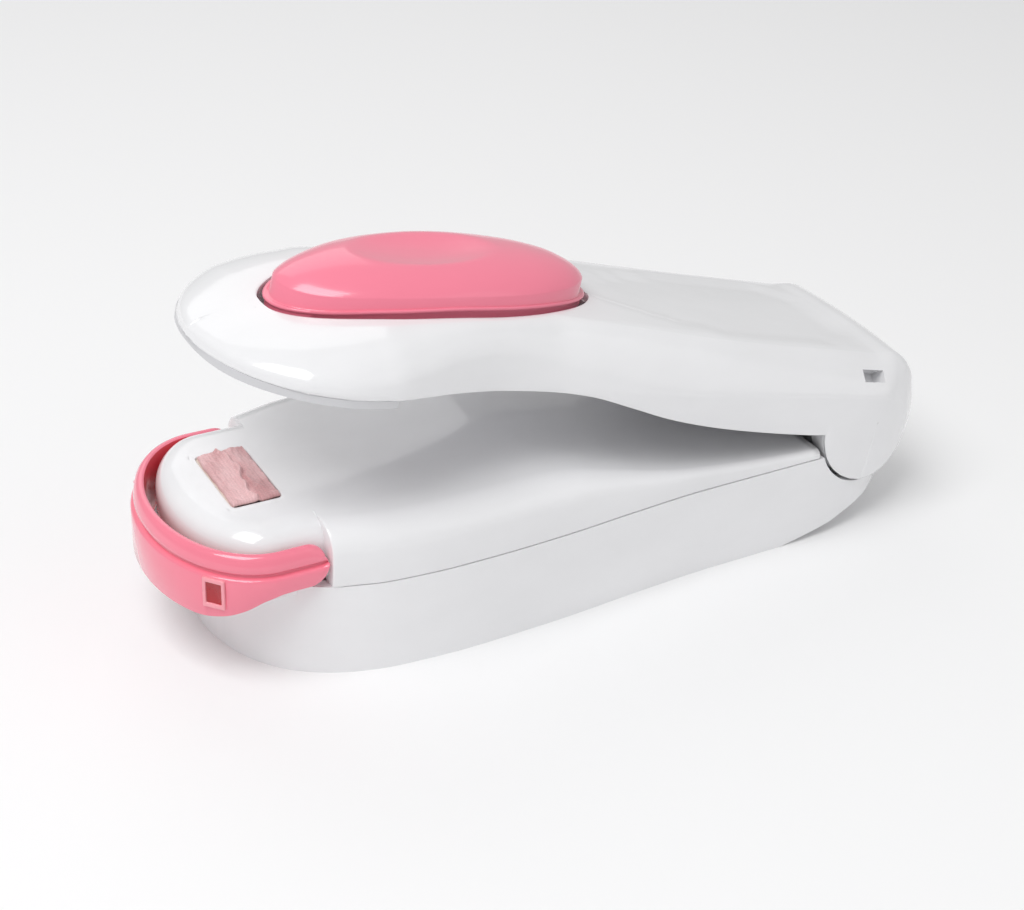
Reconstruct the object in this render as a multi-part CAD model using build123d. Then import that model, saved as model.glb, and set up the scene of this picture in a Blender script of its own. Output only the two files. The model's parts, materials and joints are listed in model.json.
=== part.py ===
"""Handheld bag heat sealer: a battery base, a sprung press arm with a thumb pad, a guard ring that swings up as
a prop, and a heater that sinks a little when it is pressed. Millimetres, +Z up, +X from the nose to the hinge.
The origin is the middle of the flat face that the base rests on. The arm is drawn closed, then turned open."""
from build123d import *
from math import hypot, radians, tan
import os

# ---- driving dimensions ----------------------------------------------------------------------------------
WALL = 2.0                # casing walls
GAP = 0.35                # between pieces that move past each other
FIT = 0.1                 # between pieces that sit in each other
SEAM_Z = 17.0             # where the base's two shells meet
DECK_Z = 27.5             # top of the deck at the nose
FLOOR = 2.4               # top of the lower shell's floor

HINGE_X = 60.0
HINGE_Z = 21.5
LOBE_R = 11.8             # the arm's round hinge end
LOBE_T = 5.0              # thickness of its two cheeks
HINGE_HALF = 22.8         # half width over the cheeks
RECESS = 0.5              # round room left for the hinge end in the base
LUG_T = 4.4
LUG_R = 6.0
PIN_R = 1.5
PIN_RUN = 0.06            # running clearance of the pin in the lugs
OPEN_ANGLE = 11.8         # how far the arm stands open at rest, in degrees

SHOULDER_X = -49.0        # where the full-width base steps in for the guard ring
NOSE_HALF = 19.4
NOSE_TIP = -69.4
NOSE_RUN = 12.4           # length of the elliptical nose
NOSE_ROUND = 3.0
HULL_TIP = -64.0
HULL_END = 70.0

RING_GAP = 0.6            # beside the nose
RING_SWING = 1.2          # in front of the nose
RING_BAND = 2.5           # thickness of the ring's outer band
RING_RIM = 0.9            # width of the ring's top edge
RING_TOP = 25.1
RING_STEP_Z = 21.9        # ledge between rim and band
RING_LOW = 18.1
CHIN_LOW = 13.0
RING_PIN_R = 1.9
RING_PIN_RUN = 0.08
RING_PIVOT_X = SHOULDER_X - 0.4 - (RING_TOP - RING_LOW) / 2
RING_PIVOT_Z = (RING_TOP + RING_LOW) / 2

HEATER_X = -55.5
STRIP_LONG = 18.0         # heated length across the tool
STRIP_WIDE = 8.6
BLOCK_EDGE = 1.2          # block beyond the heated area
BLOCK_TOP = DECK_Z - 0.4
BLOCK_DEEP = 6.0
PAD_T = 0.5               # insulating pad on the block
STRIP_T = 0.15            # heating strip
TAPE_T = 0.15             # slip tape over it
HEATER_TRAVEL = 1.2
TOWER_Z = 11.4            # top of the block that the heater springs stand on

CELL_R = 7.25             # AA cells
CELL_LONG = 49.5
CELL_NUB_R = 2.7
CELL_NUB = 1.0
CELL_PITCH = 15.2
BAY_FRONT = -27.0
SPRING_ROOM = 4.6
CONTACT_T = 0.4
DOOR_T = 2.0
DOOR_HALF = 15.9
DOOR_REAR = 41.8
TONGUE = 0.8
DOOR_SLIDE = 60.0

ARM_WALL = 1.8
LINER_LOW = 27.9          # lower face of the arm's under shell at the head
LINER_T = 1.8
LINER_INSET = 0.2         # how far the under shell stands above the neck's lower edge
PRESS_LOW = 28.3          # lower face of the silicone pad with the arm closed
PRESS_TOP = 30.3
PLATE_T = 1.0
THUMB_X = -25.75
THUMB_LONG = 62.5
THUMB_WIDE = 28.0
THUMB_LOW = 33.0          # lower edge of the thumb pad's skirt
THUMB_WALL = 1.8
THUMB_TRAVEL = 1.2

SCREW_R = 1.3
SCREW_HEAD_R = 2.2
WIRE_R = 0.6

BAY_LONG = CELL_LONG + CELL_NUB + SPRING_ROOM + 2 * CONTACT_T
BAY_REAR = BAY_FRONT + BAY_LONG
CELL_Z = DOOR_T + 0.5 + CELL_R
BAY_HALF = CELL_PITCH / 2 + CELL_R + 0.4

# stations: x, half width of the base's sides
HULL = [(-61.0, 11.2), (-56.0, 18.2), (-49.0, 22.6), (-41.0, 25.0), (-28.0, 26.0), (-8.0, 25.4), (8.0, 24.0),
        (22.0, 23.0), (38.0, HINGE_HALF), (50.0, 22.7), (60.0, 21.2), (66.0, 17.5), (69.2, 10.0)]
# stations: x, height of the deck
DECK = [(-12.0, DECK_Z), (-4.0, 26.7), (5.0, 24.7), (13.0, 22.7), (21.0, 21.3), (30.0, 20.2), (40.0, 19.3),
        (54.0, 18.6)]
# stations: y, z of the deck's rolled edges
DECK_EDGE = [(26.2, 21.5), (25.2, 24.4), (23.0, 26.6), (19.5, DECK_Z)]
# stations: x, half width of the arm
ARM_PLAN = [(-64.4, 14.6), (-56.5, 22.0), (-49.0, 24.8), (-42.0, 24.9), (-31.0, 22.0), (-21.0, 20.3),
            (-11.0, 19.8), (-2.0, 20.7), (12.0, 22.0), (30.0, 22.6), (48.0, HINGE_HALF), (62.0, HINGE_HALF),
            (74.0, 18.0)]
ARM_TIP = -68.0
ARM_END = 80.0
# stations: x, top of the arm on its centre line
ARM_TOP = [(-66.8, 31.6), (-55.4, 35.2), (-40.0, 38.3), (-25.0, 39.5), (-10.0, 39.3), (5.0, 38.2), (20.0, 36.6),
           (35.0, 35.2), (48.0, 34.3)]
# stations: x, lower edge of the arm's top shell
ARM_LOW = [(-40.0, 29.3), (-26.0, 28.6), (-14.0, 27.9), (-4.0, 27.1), (5.0, 25.1), (13.0, 23.1), (21.0, 21.7),
           (30.0, 20.6), (40.0, 19.7), (52.0, 19.0)]
# stations: y, z of the arm's shoulders over the head and over the neck
HEAD_EDGE = [(25.2, 29.5), (23.8, 32.6), (20.3, 35.8), (15.5, 38.2), (8.0, 39.8)]
HEAD_CROWN = 40.3
NECK_EDGE = [(23.0, 26.6), (21.6, 29.4), (18.6, 32.9), (15.0, 35.6), (8.0, 38.0)]
NECK_CROWN = 38.8
# stations: x, top of the thumb pad
THUMB_TOP = [(-56.0, 38.6), (-50.0, 41.4), (-41.5, 44.4), (-31.0, 46.0), (-17.5, 45.8), (-5.0, 43.2), (3.5, 40.0)]


# ---- helpers ---------------------------------------------------------------------------------------------
def outline(half, start, end, inset=0.0):
    """A face in XY from half an outline, given from the nose back: straight runs joined by large arcs."""
    loop = [(start, 0), *half, (end, 0), *[(x, -y) for x, y in reversed(half)]]
    radii = []
    for before, at, after in zip(loop[-1:] + loop[:-1], loop, loop[1:] + loop[:1]):
        first, second = Vector(*at) - Vector(*before), Vector(*after) - Vector(*at)
        turn = radians(max(first.get_angle(second), 1.0))
        radii.append(0.45 * min(first.length, second.length) / tan(turn / 2))
    face = make_face(FilletPolyline(*loop, radius=radii, close=True))
    return offset(face, -inset) if inset else face


def smooth_outline(half, start, end, inset=0.0):
    """A face in XY from half an outline as one smooth line each side, drawn in by inset."""
    chain = [(start, 0.0), *half, (end, 0.0)]
    points = []
    for before, (x, y), after in zip(chain, chain[1:], chain[2:]):
        run_x, run_y = after[0] - before[0], after[1] - before[1]
        run = hypot(run_x, run_y)
        points.append((x + inset * run_y / run, y - inset * run_x / run))
    first, last = (start + inset, 0), (end - inset, 0)
    left = Spline(first, *points, last, tangents=[(0, 1), (0, -1)])
    right = Spline(first, *[(x, -y) for x, y in points], last, tangents=[(0, -1), (0, 1)])
    return make_face([left, right])


def slab(face, low, high):
    """A flat face in XY made a solid between two heights."""
    return extrude(Pos(0, 0, low) * face, high - low)


def upright(points):
    """Points given as (x, height), stood up in the XZ plane."""
    return [(x, 0, z) for x, z in points]


def across(edges, half=40.0):
    """Closed edges in the XZ plane made a solid over the whole width."""
    return extrude(make_face(edges), half, both=True)


def under_curve(points, start, end, floor):
    """Everything under a smooth line of (x, height), level at both ends."""
    curve = Spline(*upright(points), tangents=[(1, 0, 0), (1, 0, 0)])
    first, last = points[0], points[-1]
    rest = Polyline(*upright([last, (end, last[1]), (end, floor), (start, floor), (start, first[1]), first]))
    return across([curve, rest])


def edge_section(x, half, crown, inset=0.0):
    """An arch across the tool, given from its side up, standing on z = 0."""
    right = [(x, y - inset, z - inset) for y, z in half]
    left = [(x, -(y - inset), z - inset) for y, z in reversed(half)]
    arch = Spline(*right, (x, 0, crown - inset), *left)
    foot = Polyline(left[-1], (x, left[-1][1], 0), (x, right[0][1], 0), right[0])
    return make_face([arch, foot])


def box(x0, x1, y0, y1, z0, z1):
    """A block between two corners."""
    return Pos((x0 + x1) / 2, (y0 + y1) / 2, (z0 + z1) / 2) * Box(x1 - x0, y1 - y0, z1 - z0)


def rod(x, z, radius, y0, y1):
    """A cylinder along Y."""
    return Pos(x, (y0 + y1) / 2, z) * Rot(90, 0, 0) * Cylinder(radius, abs(y1 - y0))


def post(x, y, radius, z0, z1):
    """A cylinder along Z."""
    return Pos(x, y, (z0 + z1) / 2) * Cylinder(radius, z1 - z0)


def barrel(x0, x1, y, z, radius):
    """A cylinder along X."""
    return Pos((x0 + x1) / 2, y, z) * Rot(0, 90, 0) * Cylinder(radius, x1 - x0)


def height_at(table, x):
    """The height of a station table at x, on straight lines between stations."""
    for a, b in zip(table, table[1:]):
        if a[0] <= x <= b[0]:
            return a[1] + (b[1] - a[1]) * (x - a[0]) / (b[0] - a[0])
    return table[0][1] if x < table[0][0] else table[-1][1]


def coil(radius, wire, height, turns):
    """A coil spring standing on z = 0."""
    path = Helix(pitch=(height - wire) / turns, height=height - wire, radius=radius)
    start = Plane(origin=path @ 0, z_dir=path % 0)
    return Pos(0, 0, wire / 2) * sweep(start * Circle(wire / 2), path, is_frenet=True)


def lead(points, bend):
    """An insulated wire along straight runs joined by arcs."""
    path = FilletPolyline(*points, radius=bend)
    return sweep(Plane(origin=path @ 0, z_dir=path % 0) * Circle(WIRE_R), path)


def opened(shape):
    """Turns a piece of the closed arm open about the hinge."""
    return Pos(HINGE_X, 0, HINGE_Z) * Rot(0, OPEN_ANGLE, 0) * Pos(-HINGE_X, 0, -HINGE_Z) * shape


def hinge_room():
    """The round space that the arm's hinge end turns in."""
    return rod(HINGE_X, HINGE_Z, LOBE_R + RECESS, -40, 40)


# ---- base ------------------------------------------------------------------------------------------------
def hull_outline(inset=0.0):
    return outline(HULL, HULL_TIP, HULL_END, inset)


def nose_outline(spread=0.0, swing=0.0):
    """The narrow nose that the guard ring goes round: half an ellipse and a straight run back."""
    centre = NOSE_TIP + NOSE_RUN
    tip = Pos(centre, 0) * Ellipse(NOSE_RUN + spread + swing, NOSE_HALF + spread)
    back = Pos((centre + SHOULDER_X + 2) / 2, 0) * Rectangle(SHOULDER_X + 2 - centre, 2 * (NOSE_HALF + spread))
    return (tip + back) - Pos(SHOULDER_X + 32, 0) * Rectangle(60, 80)


def stern_wedge(rise=0.0):
    """What is left out under the stern, where the underside lifts behind the battery door."""
    lift = [(DOOR_REAR - 1, 0), (52, 2.3), (61, 5.6), (HULL_END + 4, 12.0)]
    line = [(x, z + rise) for x, z in lift]
    return across([Polyline(*upright([*line, (HULL_END + 4, -9), (line[0][0], -9), line[0]]))])


def base_screw_places():
    return [(x, side * y) for x, y in ((-38.0, 19.4), (37.0, 19.7)) for side in (-1, 1)]


def hull_ribs():
    """Everything that stands inside the lower shell: the battery bay's walls, the stern's ribs, screw posts."""
    ribs = box(BAY_FRONT - 1.5, BAY_REAR + 1.5, -BAY_HALF - 1.5, BAY_HALF + 1.5, FLOOR - 0.5, SEAM_Z - 0.6)
    ribs += box(DOOR_REAR - 1, HINGE_X - 6, -20, 20, FLOOR - 0.5, FLOOR + 3)
    for x, y in base_screw_places():
        ribs += post(x, y, 3.4, FLOOR - 0.5, SEAM_Z)
    return ribs & (slab(hull_outline(0.6), 0, SEAM_Z) - stern_wedge(0.3))


def lower_shell():
    room = hinge_room()
    shell = slab(hull_outline(), 0, SEAM_Z) - room - stern_wedge()
    shell -= slab(hull_outline(WALL), -1, SEAM_Z + 1)
    plate = slab(hull_outline(WALL / 2), 0, SEAM_Z) - room - stern_wedge()
    plate -= box(-90, 90, -40, 40, FLOOR, SEAM_Z + 1) - stern_wedge(FLOOR)
    shell += plate
    shell += slab(nose_outline(), SEAM_Z - 1.6, SEAM_Z) - slab(hull_outline(WALL), 0, SEAM_Z + 1)
    shell += hull_ribs() - room
    for side in (-1, 1):
        y0, y1 = sorted((side * (HINGE_HALF - LOBE_T - 0.6), side * (HINGE_HALF - LOBE_T - 0.6 - LUG_T)))
        shell += rod(HINGE_X, HINGE_Z, LUG_R, y0, y1) + box(HINGE_X - 5, HINGE_X + 5, y0, y1, 6.5, HINGE_Z)
    shell -= rod(HINGE_X, HINGE_Z, PIN_R + PIN_RUN, -30, 30)
    for x, y in base_screw_places():
        shell -= post(x, y, SCREW_R + 0.25, -1, SEAM_Z + 1)
        shell -= post(x, y, SCREW_HEAD_R + 0.2, -1, 3.2)
    shell -= box(BAY_FRONT, BAY_REAR, -BAY_HALF, BAY_HALF, -1, SEAM_Z + 1)
    shell -= box(BAY_FRONT - 1.9, HULL_END + 5, -DOOR_HALF - GAP, DOOR_HALF + GAP, -1, DOOR_T + 0.35)
    shell -= box(BAY_FRONT - 1.9, HULL_END + 5, -DOOR_HALF - TONGUE - GAP, DOOR_HALF + TONGUE + GAP, 0.75, 1.9)
    for side in (-1, 1):
        shell -= box(BAY_FRONT - 3, BAY_FRONT + 1, side * 11 - 1.3, side * 11 + 1.3, 12.5, SEAM_Z + 1)
    return shell


def battery_door():
    x0, x1 = BAY_FRONT - 1.5, DOOR_REAR
    door = box(x0, x1, -DOOR_HALF, DOOR_HALF, 0.2, DOOR_T)
    door += box(x0, x1, -DOOR_HALF - TONGUE, DOOR_HALF + TONGUE, 1.1, 1.55)
    for i in range(5):
        x = x1 - 5 - i * 2.2
        door -= box(x - 0.5, x + 0.5, -7, 7, 0, 0.7)
    return door


def deck_form(drop=0.0):
    """The base's upper half behind the shoulder, drawn in by the same amount all round."""
    points = [(x, z - drop) for x, z in DECK]
    rolled = extrude(edge_section(-70, DECK_EDGE, DECK_Z, drop), 145, dir=(1, 0, 0))
    return slab(hull_outline(drop), SEAM_Z - drop, 40) & under_curve(points, -90, 90, -5) & rolled


def deck_cover():
    behind = box(SHOULDER_X, 90, -40, 40, 0, 60)
    nose = slab(nose_outline(), SEAM_Z, DECK_Z)
    nose = fillet(nose.edges().filter_by_position(Axis.Z, DECK_Z - 0.01, DECK_Z + 0.01), NOSE_ROUND)
    cover = (deck_form() & behind) + (nose & box(-80, SHOULDER_X + 0.5, -40, 40, 0, 60))
    cover -= deck_form(WALL) & box(SHOULDER_X + WALL, 90, -40, 40, 0, 60)
    cover -= slab(nose_outline(-WALL), SEAM_Z - 1, DECK_Z - WALL)
    cover -= box(SHOULDER_X - 4, SHOULDER_X + WALL + 1, -NOSE_HALF + WALL, NOSE_HALF - WALL, 0, DECK_Z - WALL)
    half_x, half_y = STRIP_WIDE / 2 + BLOCK_EDGE + GAP, STRIP_LONG / 2 + BLOCK_EDGE + 0.8
    cover -= box(HEATER_X - half_x, HEATER_X + half_x, -half_y, half_y, DECK_Z - WALL - 1, DECK_Z + 1)
    cover -= rod(RING_PIVOT_X, RING_PIVOT_Z, RING_PIN_R + RING_PIN_RUN, -40, 40)
    for x, y in base_screw_places():
        top = height_at([(-90, DECK_Z)] + DECK, x) - WALL / 2
        cover += post(x, y, 3.0, SEAM_Z, top)
        cover -= post(x, y, SCREW_R - 0.15, SEAM_Z - 1, top - 1)
    return cover - hinge_room()


def base_screws():
    screws = []
    for x, y in base_screw_places():
        head = post(x, y, SCREW_HEAD_R, 1.2, 3.1) - box(x - 3, x + 3, y - 0.35, y + 0.35, 0, 2.0)
        screws.append(head + post(x, y, SCREW_R - 0.15, 3.0, SEAM_Z - 0.5))
    return Compound(screws)


# ---- guard ring ------------------------------------------------------------------------------------------
def guard_ring():
    inner = nose_outline(RING_GAP, RING_SWING - RING_GAP)
    outer = nose_outline(RING_GAP + RING_BAND, RING_SWING - RING_GAP)
    ledge = nose_outline(RING_GAP + RING_BAND - 0.7, RING_SWING - RING_GAP)
    crest = nose_outline(RING_GAP + RING_RIM, RING_SWING - RING_GAP)
    ring = slab(outer, CHIN_LOW, RING_STEP_Z)
    ring += loft([Pos(0, 0, RING_STEP_Z) * ledge, Pos(0, 0, RING_TOP) * crest], ruled=True)
    ring -= slab(inner, CHIN_LOW - 1, RING_TOP + 1)
    end_r = (RING_TOP - RING_LOW) / 2
    ring &= box(-90, RING_PIVOT_X, -40, 40, 0, 60) + rod(RING_PIVOT_X, RING_PIVOT_Z, end_r, -40, 40)
    below = Spline(*upright([(-69.5, CHIN_LOW), (-64.5, 15.4), (-59.0, RING_LOW)]),
                   tangents=[(1, 0, 0), (1, 0, 0)])
    rest = Polyline(*upright([(-59.0, RING_LOW), (-40, RING_LOW), (-40, 5), (-69.5, 5), (-69.5, CHIN_LOW)]))
    ring -= across([below, rest])
    for side in (-1, 1):
        y0, y1 = sorted((side * (NOSE_HALF + RING_GAP + 0.3), side * (NOSE_HALF - WALL - 0.4)))
        ring += rod(RING_PIVOT_X, RING_PIVOT_Z, RING_PIN_R, y0, y1)
        ring -= Pos(-68.4, side * 14.4, 17.9) * Rot(0, 0, side * -40) * Box(8, 4.6, 4.6)
    return ring


# ---- heater ----------------------------------------------------------------------------------------------
def heater_block():
    half_x, half_y = STRIP_WIDE / 2 + BLOCK_EDGE, STRIP_LONG / 2 + BLOCK_EDGE
    low = BLOCK_TOP - BLOCK_DEEP
    block = box(HEATER_X - half_x, HEATER_X + half_x, -half_y, half_y, low, BLOCK_TOP)
    block = fillet(block.edges().filter_by(Axis.X).filter_by_position(Axis.Z, BLOCK_TOP, BLOCK_TOP), 1.0)
    foot = box(HEATER_X - half_x - 1.2, HEATER_X + half_x + 1.2, -half_y + 1, half_y - 1, low, low + 2)
    block += foot
    for side in (-1, 1):
        block -= post(HEATER_X, side * 7, 2.6, low - 1, low + 2)
        block -= post(HEATER_X, side * 7, 1.5 + GAP, low - 1, low + 4)
    return block


def strip_band(width, thickness, drop, lift):
    """A thin band laid over the block and bent down its two ends."""
    low, half = BLOCK_TOP + lift, STRIP_LONG / 2 + BLOCK_EDGE + lift
    band = box(HEATER_X - width / 2, HEATER_X + width / 2, -half - thickness, half + thickness,
               low - drop, low + thickness)
    band = fillet(band.edges().filter_by(Axis.X).sort_by(Axis.Z)[-2:], 1.0 + lift + thickness)
    core = box(HEATER_X - width, HEATER_X + width, -half, half, low - drop - 1, low)
    core = fillet(core.edges().filter_by(Axis.X).sort_by(Axis.Z)[-2:], 1.0 + lift)
    return band - core


def insulating_pad():
    return strip_band(STRIP_WIDE, PAD_T - 0.02, 2.0, 0.01)


def heating_strip():
    return strip_band(4.0, STRIP_T - 0.02, 3.2, PAD_T)


def heat_tape():
    return strip_band(STRIP_WIDE + 1.0, TAPE_T, 2.6, PAD_T + STRIP_T)


def heater_tower():
    """The guide that stands on the floor under the heater and carries its springs."""
    tower = box(HEATER_X - 3.5, HEATER_X + 6.5, -12.5, 12.5, FLOOR + 0.05, TOWER_Z)
    tower &= slab(hull_outline(WALL + 0.4), 0, 40)
    for side in (-1, 1):
        tower += post(HEATER_X, side * 7, 1.5, TOWER_Z - 1, TOWER_Z + 10.5)
        tower += box(HEATER_X + 1, HEATER_X + 4, side * 12.3 - 0.8, side * 12.3 + 0.8, TOWER_Z - 2, TOWER_Z + 4)
    return tower


def heater_springs():
    low, high = TOWER_Z, BLOCK_TOP - BLOCK_DEEP + 2
    one = coil(2.15, 0.45, high - low - 0.06, 6)
    return Compound([Pos(HEATER_X, side * 7, low + 0.03) * one for side in (-1, 1)])


def fixed_contact():
    plate = box(HEATER_X - 2, HEATER_X + 7.5, -2.5, 2.5, TOWER_Z + 0.02, TOWER_Z + 0.5)
    return plate + post(HEATER_X, 0, 1.2, TOWER_Z + 0.4, BLOCK_TOP - BLOCK_DEEP - 0.6 - HEATER_TRAVEL)


def moving_contact():
    low = BLOCK_TOP - BLOCK_DEEP
    return box(HEATER_X - 2.5, HEATER_X + 2.5, -3, 3, low - 0.45, low - 0.02)


def strip_terminals():
    clips = []
    for side in (-1, 1):
        y = side * (STRIP_LONG / 2 + BLOCK_EDGE + PAD_T + STRIP_T + TAPE_T + 1.2)
        clips.append(box(HEATER_X + 1.2, HEATER_X + 3.8, y - 0.2, y + 0.2, TOWER_Z + 4.02, TOWER_Z + 9.5))
    return Compound(clips)


# ---- power -----------------------------------------------------------------------------------------------
def cell(y, nub_front):
    low = BAY_FRONT + CONTACT_T + 0.05
    if nub_front:
        return barrel(low + CELL_NUB, low + CELL_NUB + CELL_LONG, y, CELL_Z, CELL_R) + barrel(
            low, low + CELL_NUB + 1, y, CELL_Z, CELL_NUB_R)
    high = BAY_REAR - CONTACT_T - 0.05
    return barrel(high - CELL_NUB - CELL_LONG, high - CELL_NUB, y, CELL_Z, CELL_R) + barrel(
        high - CELL_NUB - 1, high, y, CELL_Z, CELL_NUB_R)


def contact_coil(towards):
    """A coil spring along X between a contact plate and the flat end of a cell."""
    return Rot(0, 90 * towards, 0) * coil(3.0, 0.6, SPRING_ROOM - 0.1, 4)


def plus_contact():
    y = -CELL_PITCH / 2
    plate = box(BAY_FRONT + 0.01, BAY_FRONT + CONTACT_T, y - 5, y + 5, 4.5, 15)
    return plate + box(BAY_FRONT - 2.6, BAY_FRONT + CONTACT_T, -12, -10, 14.6, 15)


def minus_contact():
    y = CELL_PITCH / 2
    plate = box(BAY_FRONT + 0.01, BAY_FRONT + CONTACT_T, y - 5, y + 5, 4.5, 15)
    plate += box(BAY_FRONT - 2.6, BAY_FRONT + CONTACT_T, 10, 12, 14.6, 15)
    return plate + Pos(BAY_FRONT + CONTACT_T - 0.05, y, CELL_Z) * contact_coil(1)


def bridge_contact():
    y = -CELL_PITCH / 2
    plate = box(BAY_REAR - CONTACT_T, BAY_REAR - 0.01, -13, 13, 4.5, 15)
    return plate + Pos(BAY_REAR - CONTACT_T + 0.05, y, CELL_Z) * contact_coil(-1)


def wire(side):
    """From a cell contact's tail forward to the foot of a strip terminal or of the switch contact."""
    tail, y = BAY_FRONT - 2.4, side * 11
    return lead([(tail, y, 15.7), (tail - 6, y, 15.7), (tail - 11, side * 8, 9.0), (HEATER_X + 9, side * 6, 9.0)],
                3.0)


# ---- arm, drawn closed -----------------------------------------------------------------------------------
def arm_form(inset=0.0, drop=0.0):
    """The arm's outer form drawn in by inset, with its lower edge let down by drop."""
    plan = slab(smooth_outline(ARM_PLAN, ARM_TIP, ARM_END, inset), 5, 50)
    top = [(x, z - inset) for x, z in ARM_TOP if x > ARM_TIP + 1 + 2 * inset]
    roof = Spline(*upright([(ARM_TIP + inset, 29.3), *top, (HINGE_X, HINGE_Z + LOBE_R - inset)]),
                  tangents=[(0, 0, 1), (1, 0, 0)])
    low = [(x, z - drop) for x, z in ARM_LOW]
    foot = Spline(*upright(low), tangents=[(1, 0, 0), (1, 0, 0)])
    back = Polyline(*upright([(HINGE_X, HINGE_Z + LOBE_R - inset), (HINGE_X, low[-1][1]), low[-1]]))
    front = Polyline(*upright([low[0], (ARM_TIP + inset, low[0][1]), (ARM_TIP + inset, 29.3)][:2 if not drop else 3]))
    side = across([roof, back, foot, front])
    cap = loft([edge_section(-80, HEAD_EDGE, HEAD_CROWN, inset), edge_section(-38, HEAD_EDGE, HEAD_CROWN, inset),
                edge_section(8, NECK_EDGE, NECK_CROWN, inset), edge_section(80, NECK_EDGE, NECK_CROWN, inset)],
               ruled=True)
    return plan & side & cap


def thumb_oval(spread=0.0):
    return Pos(THUMB_X, 0) * Ellipse(THUMB_LONG / 2 + spread, THUMB_WIDE / 2 + spread)


def arm_screw_places():
    return [(-36.0, 17.0), (-36.0, -17.0), (24.0, 15.0), (24.0, -15.0)]


def arm_top_shell():
    shell = arm_form() - arm_form(ARM_WALL, 3.0)
    drum = rod(HINGE_X, HINGE_Z, LOBE_R, -HINGE_HALF, HINGE_HALF)
    drum = fillet(drum.edges().filter_by(GeomType.CIRCLE), 2.0)
    bore = HINGE_HALF - LOBE_T
    shell += drum
    shell -= rod(HINGE_X, HINGE_Z, LOBE_R - WALL, -bore, bore)
    shell -= box(HINGE_X - 25, HINGE_X + 6, -bore, bore, 0, HINGE_Z + 3) & rod(HINGE_X, HINGE_Z, LOBE_R + 9, -40, 40)
    shell -= box(HINGE_X - 14, HINGE_X + 14, -bore, bore, 0, HINGE_Z - 4)
    shell -= arm_form(ARM_WALL, 3.0) & box(HINGE_X - 30, HINGE_X, -bore, bore, 0, 60)
    shell -= rod(HINGE_X, HINGE_Z, PIN_R, -bore - 3.6, bore + 3.6)
    shell -= slab(thumb_oval(0.7), THUMB_LOW - 2, 60)
    shell -= Pos(53.5, -22, 31.5) * Box(5.5, 9, 4)
    for x, y in arm_screw_places():
        top = 33.5 if x < 0 else 32.0
        shell += post(x, y, 2.6, height_at(ARM_LOW, x) + 3.0, top)
        shell -= post(x, y, SCREW_R - 0.15, 10, top - 1.2)
    return shell


def arm_under_shell():
    def plate(rise):
        low = [(x, min(z + LINER_INSET, LINER_LOW) + rise) for x, z in ARM_LOW]
        curve = Spline(*upright(low), tangents=[(1, 0, 0), (1, 0, 0)])
        return curve, low
    lower, low = plate(0.0)
    upper, high = plate(LINER_T)
    ends = [Polyline(*upright([low[0], (ARM_TIP, low[0][1]), (ARM_TIP, high[0][1]), high[0]])),
            Line((low[-1][0], 0, low[-1][1]), (high[-1][0], 0, high[-1][1]))]
    liner = across([lower, upper, *ends])
    fitted = slab(smooth_outline(ARM_PLAN, ARM_TIP, ARM_END, ARM_WALL + 0.6), 0, 50)
    fitted -= rod(HINGE_X, HINGE_Z, LOBE_R + 0.2, -40, 40)
    lip = slab(smooth_outline(ARM_PLAN, ARM_TIP, ARM_END, 0.6), LINER_LOW - 0.1, 29.2)
    shell = liner & fitted
    shell += liner & lip & box(-90, -42, -40, 40, 0, 60)
    frame = box(HEATER_X - 7.6, HEATER_X + 7.6, -12.6, 12.6, LINER_LOW + 0.2, PRESS_TOP)
    shell += frame & fitted
    shell -= box(HEATER_X - 6, HEATER_X + 6, -11, 11, 0, 40)
    for x, y in arm_screw_places():
        low_z = height_at(ARM_LOW, x)
        shell += post(x, y, 3.4, low_z + 0.4, low_z + 2.9) & fitted
        shell -= post(x, y, SCREW_R + 0.2, 0, 40)
        shell -= post(x, y, SCREW_HEAD_R + 0.2, 0, low_z + 0.9)
    for x in (-40.0, -10.0):
        shell += post(x, 0, 1.6, LINER_LOW + 1, 37.0)
    return shell


def arm_screws():
    screws = []
    for x, y in arm_screw_places():
        low = height_at(ARM_LOW, x)
        head = post(x, y, SCREW_HEAD_R, low + 0.1, low + 0.8)
        head -= box(x - 3, x + 3, y - 0.35, y + 0.35, 0, low + 0.4)
        screws.append(head + post(x, y, SCREW_R - 0.15, low + 0.7, 31.0 if x < 0 else 29.5))
    return Compound(screws)


def press_plate():
    return box(HEATER_X - 7.4, HEATER_X + 7.4, -12.4, 12.4, PRESS_TOP + 0.05, PRESS_TOP + 0.05 + PLATE_T)


def press_pad():
    pad = box(HEATER_X - 6 + FIT, HEATER_X + 6 - FIT, -11 + FIT, 11 - FIT, PRESS_LOW, PRESS_TOP)
    return fillet(pad.edges().filter_by_position(Axis.Z, PRESS_LOW, PRESS_LOW), 0.6)


def thumb_pad():
    def dome(inset):
        tops = [(x, z - inset) for x, z in THUMB_TOP]
        start, end = THUMB_X - THUMB_LONG / 2 - 1, THUMB_X + THUMB_LONG / 2 + 1
        curve = Spline(*upright([(start, 36.5 - inset), *tops, (end, 37.5 - inset)]))
        rest = Polyline(*upright([(end, 37.5 - inset), (end, 20), (start, 20), (start, 36.5 - inset)]))
        section = edge_section(-70, [(14.6, 38.5), (12.6, 41.6), (8.0, 44.4)], 46.4, inset)
        return across([curve, rest]) & extrude(section, 90, dir=(1, 0, 0))
    pad = slab(thumb_oval(), THUMB_LOW, 60) & dome(0)
    pad -= slab(thumb_oval(-THUMB_WALL), THUMB_LOW - 1, 60) & dome(THUMB_WALL)
    for x in (-40.0, -10.0):
        pad += post(x, 0, 3.4, 36.6, 60) & dome(0.5)
        pad -= post(x, 0, 1.6 + GAP, 30, 40.5)
    return pad


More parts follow.
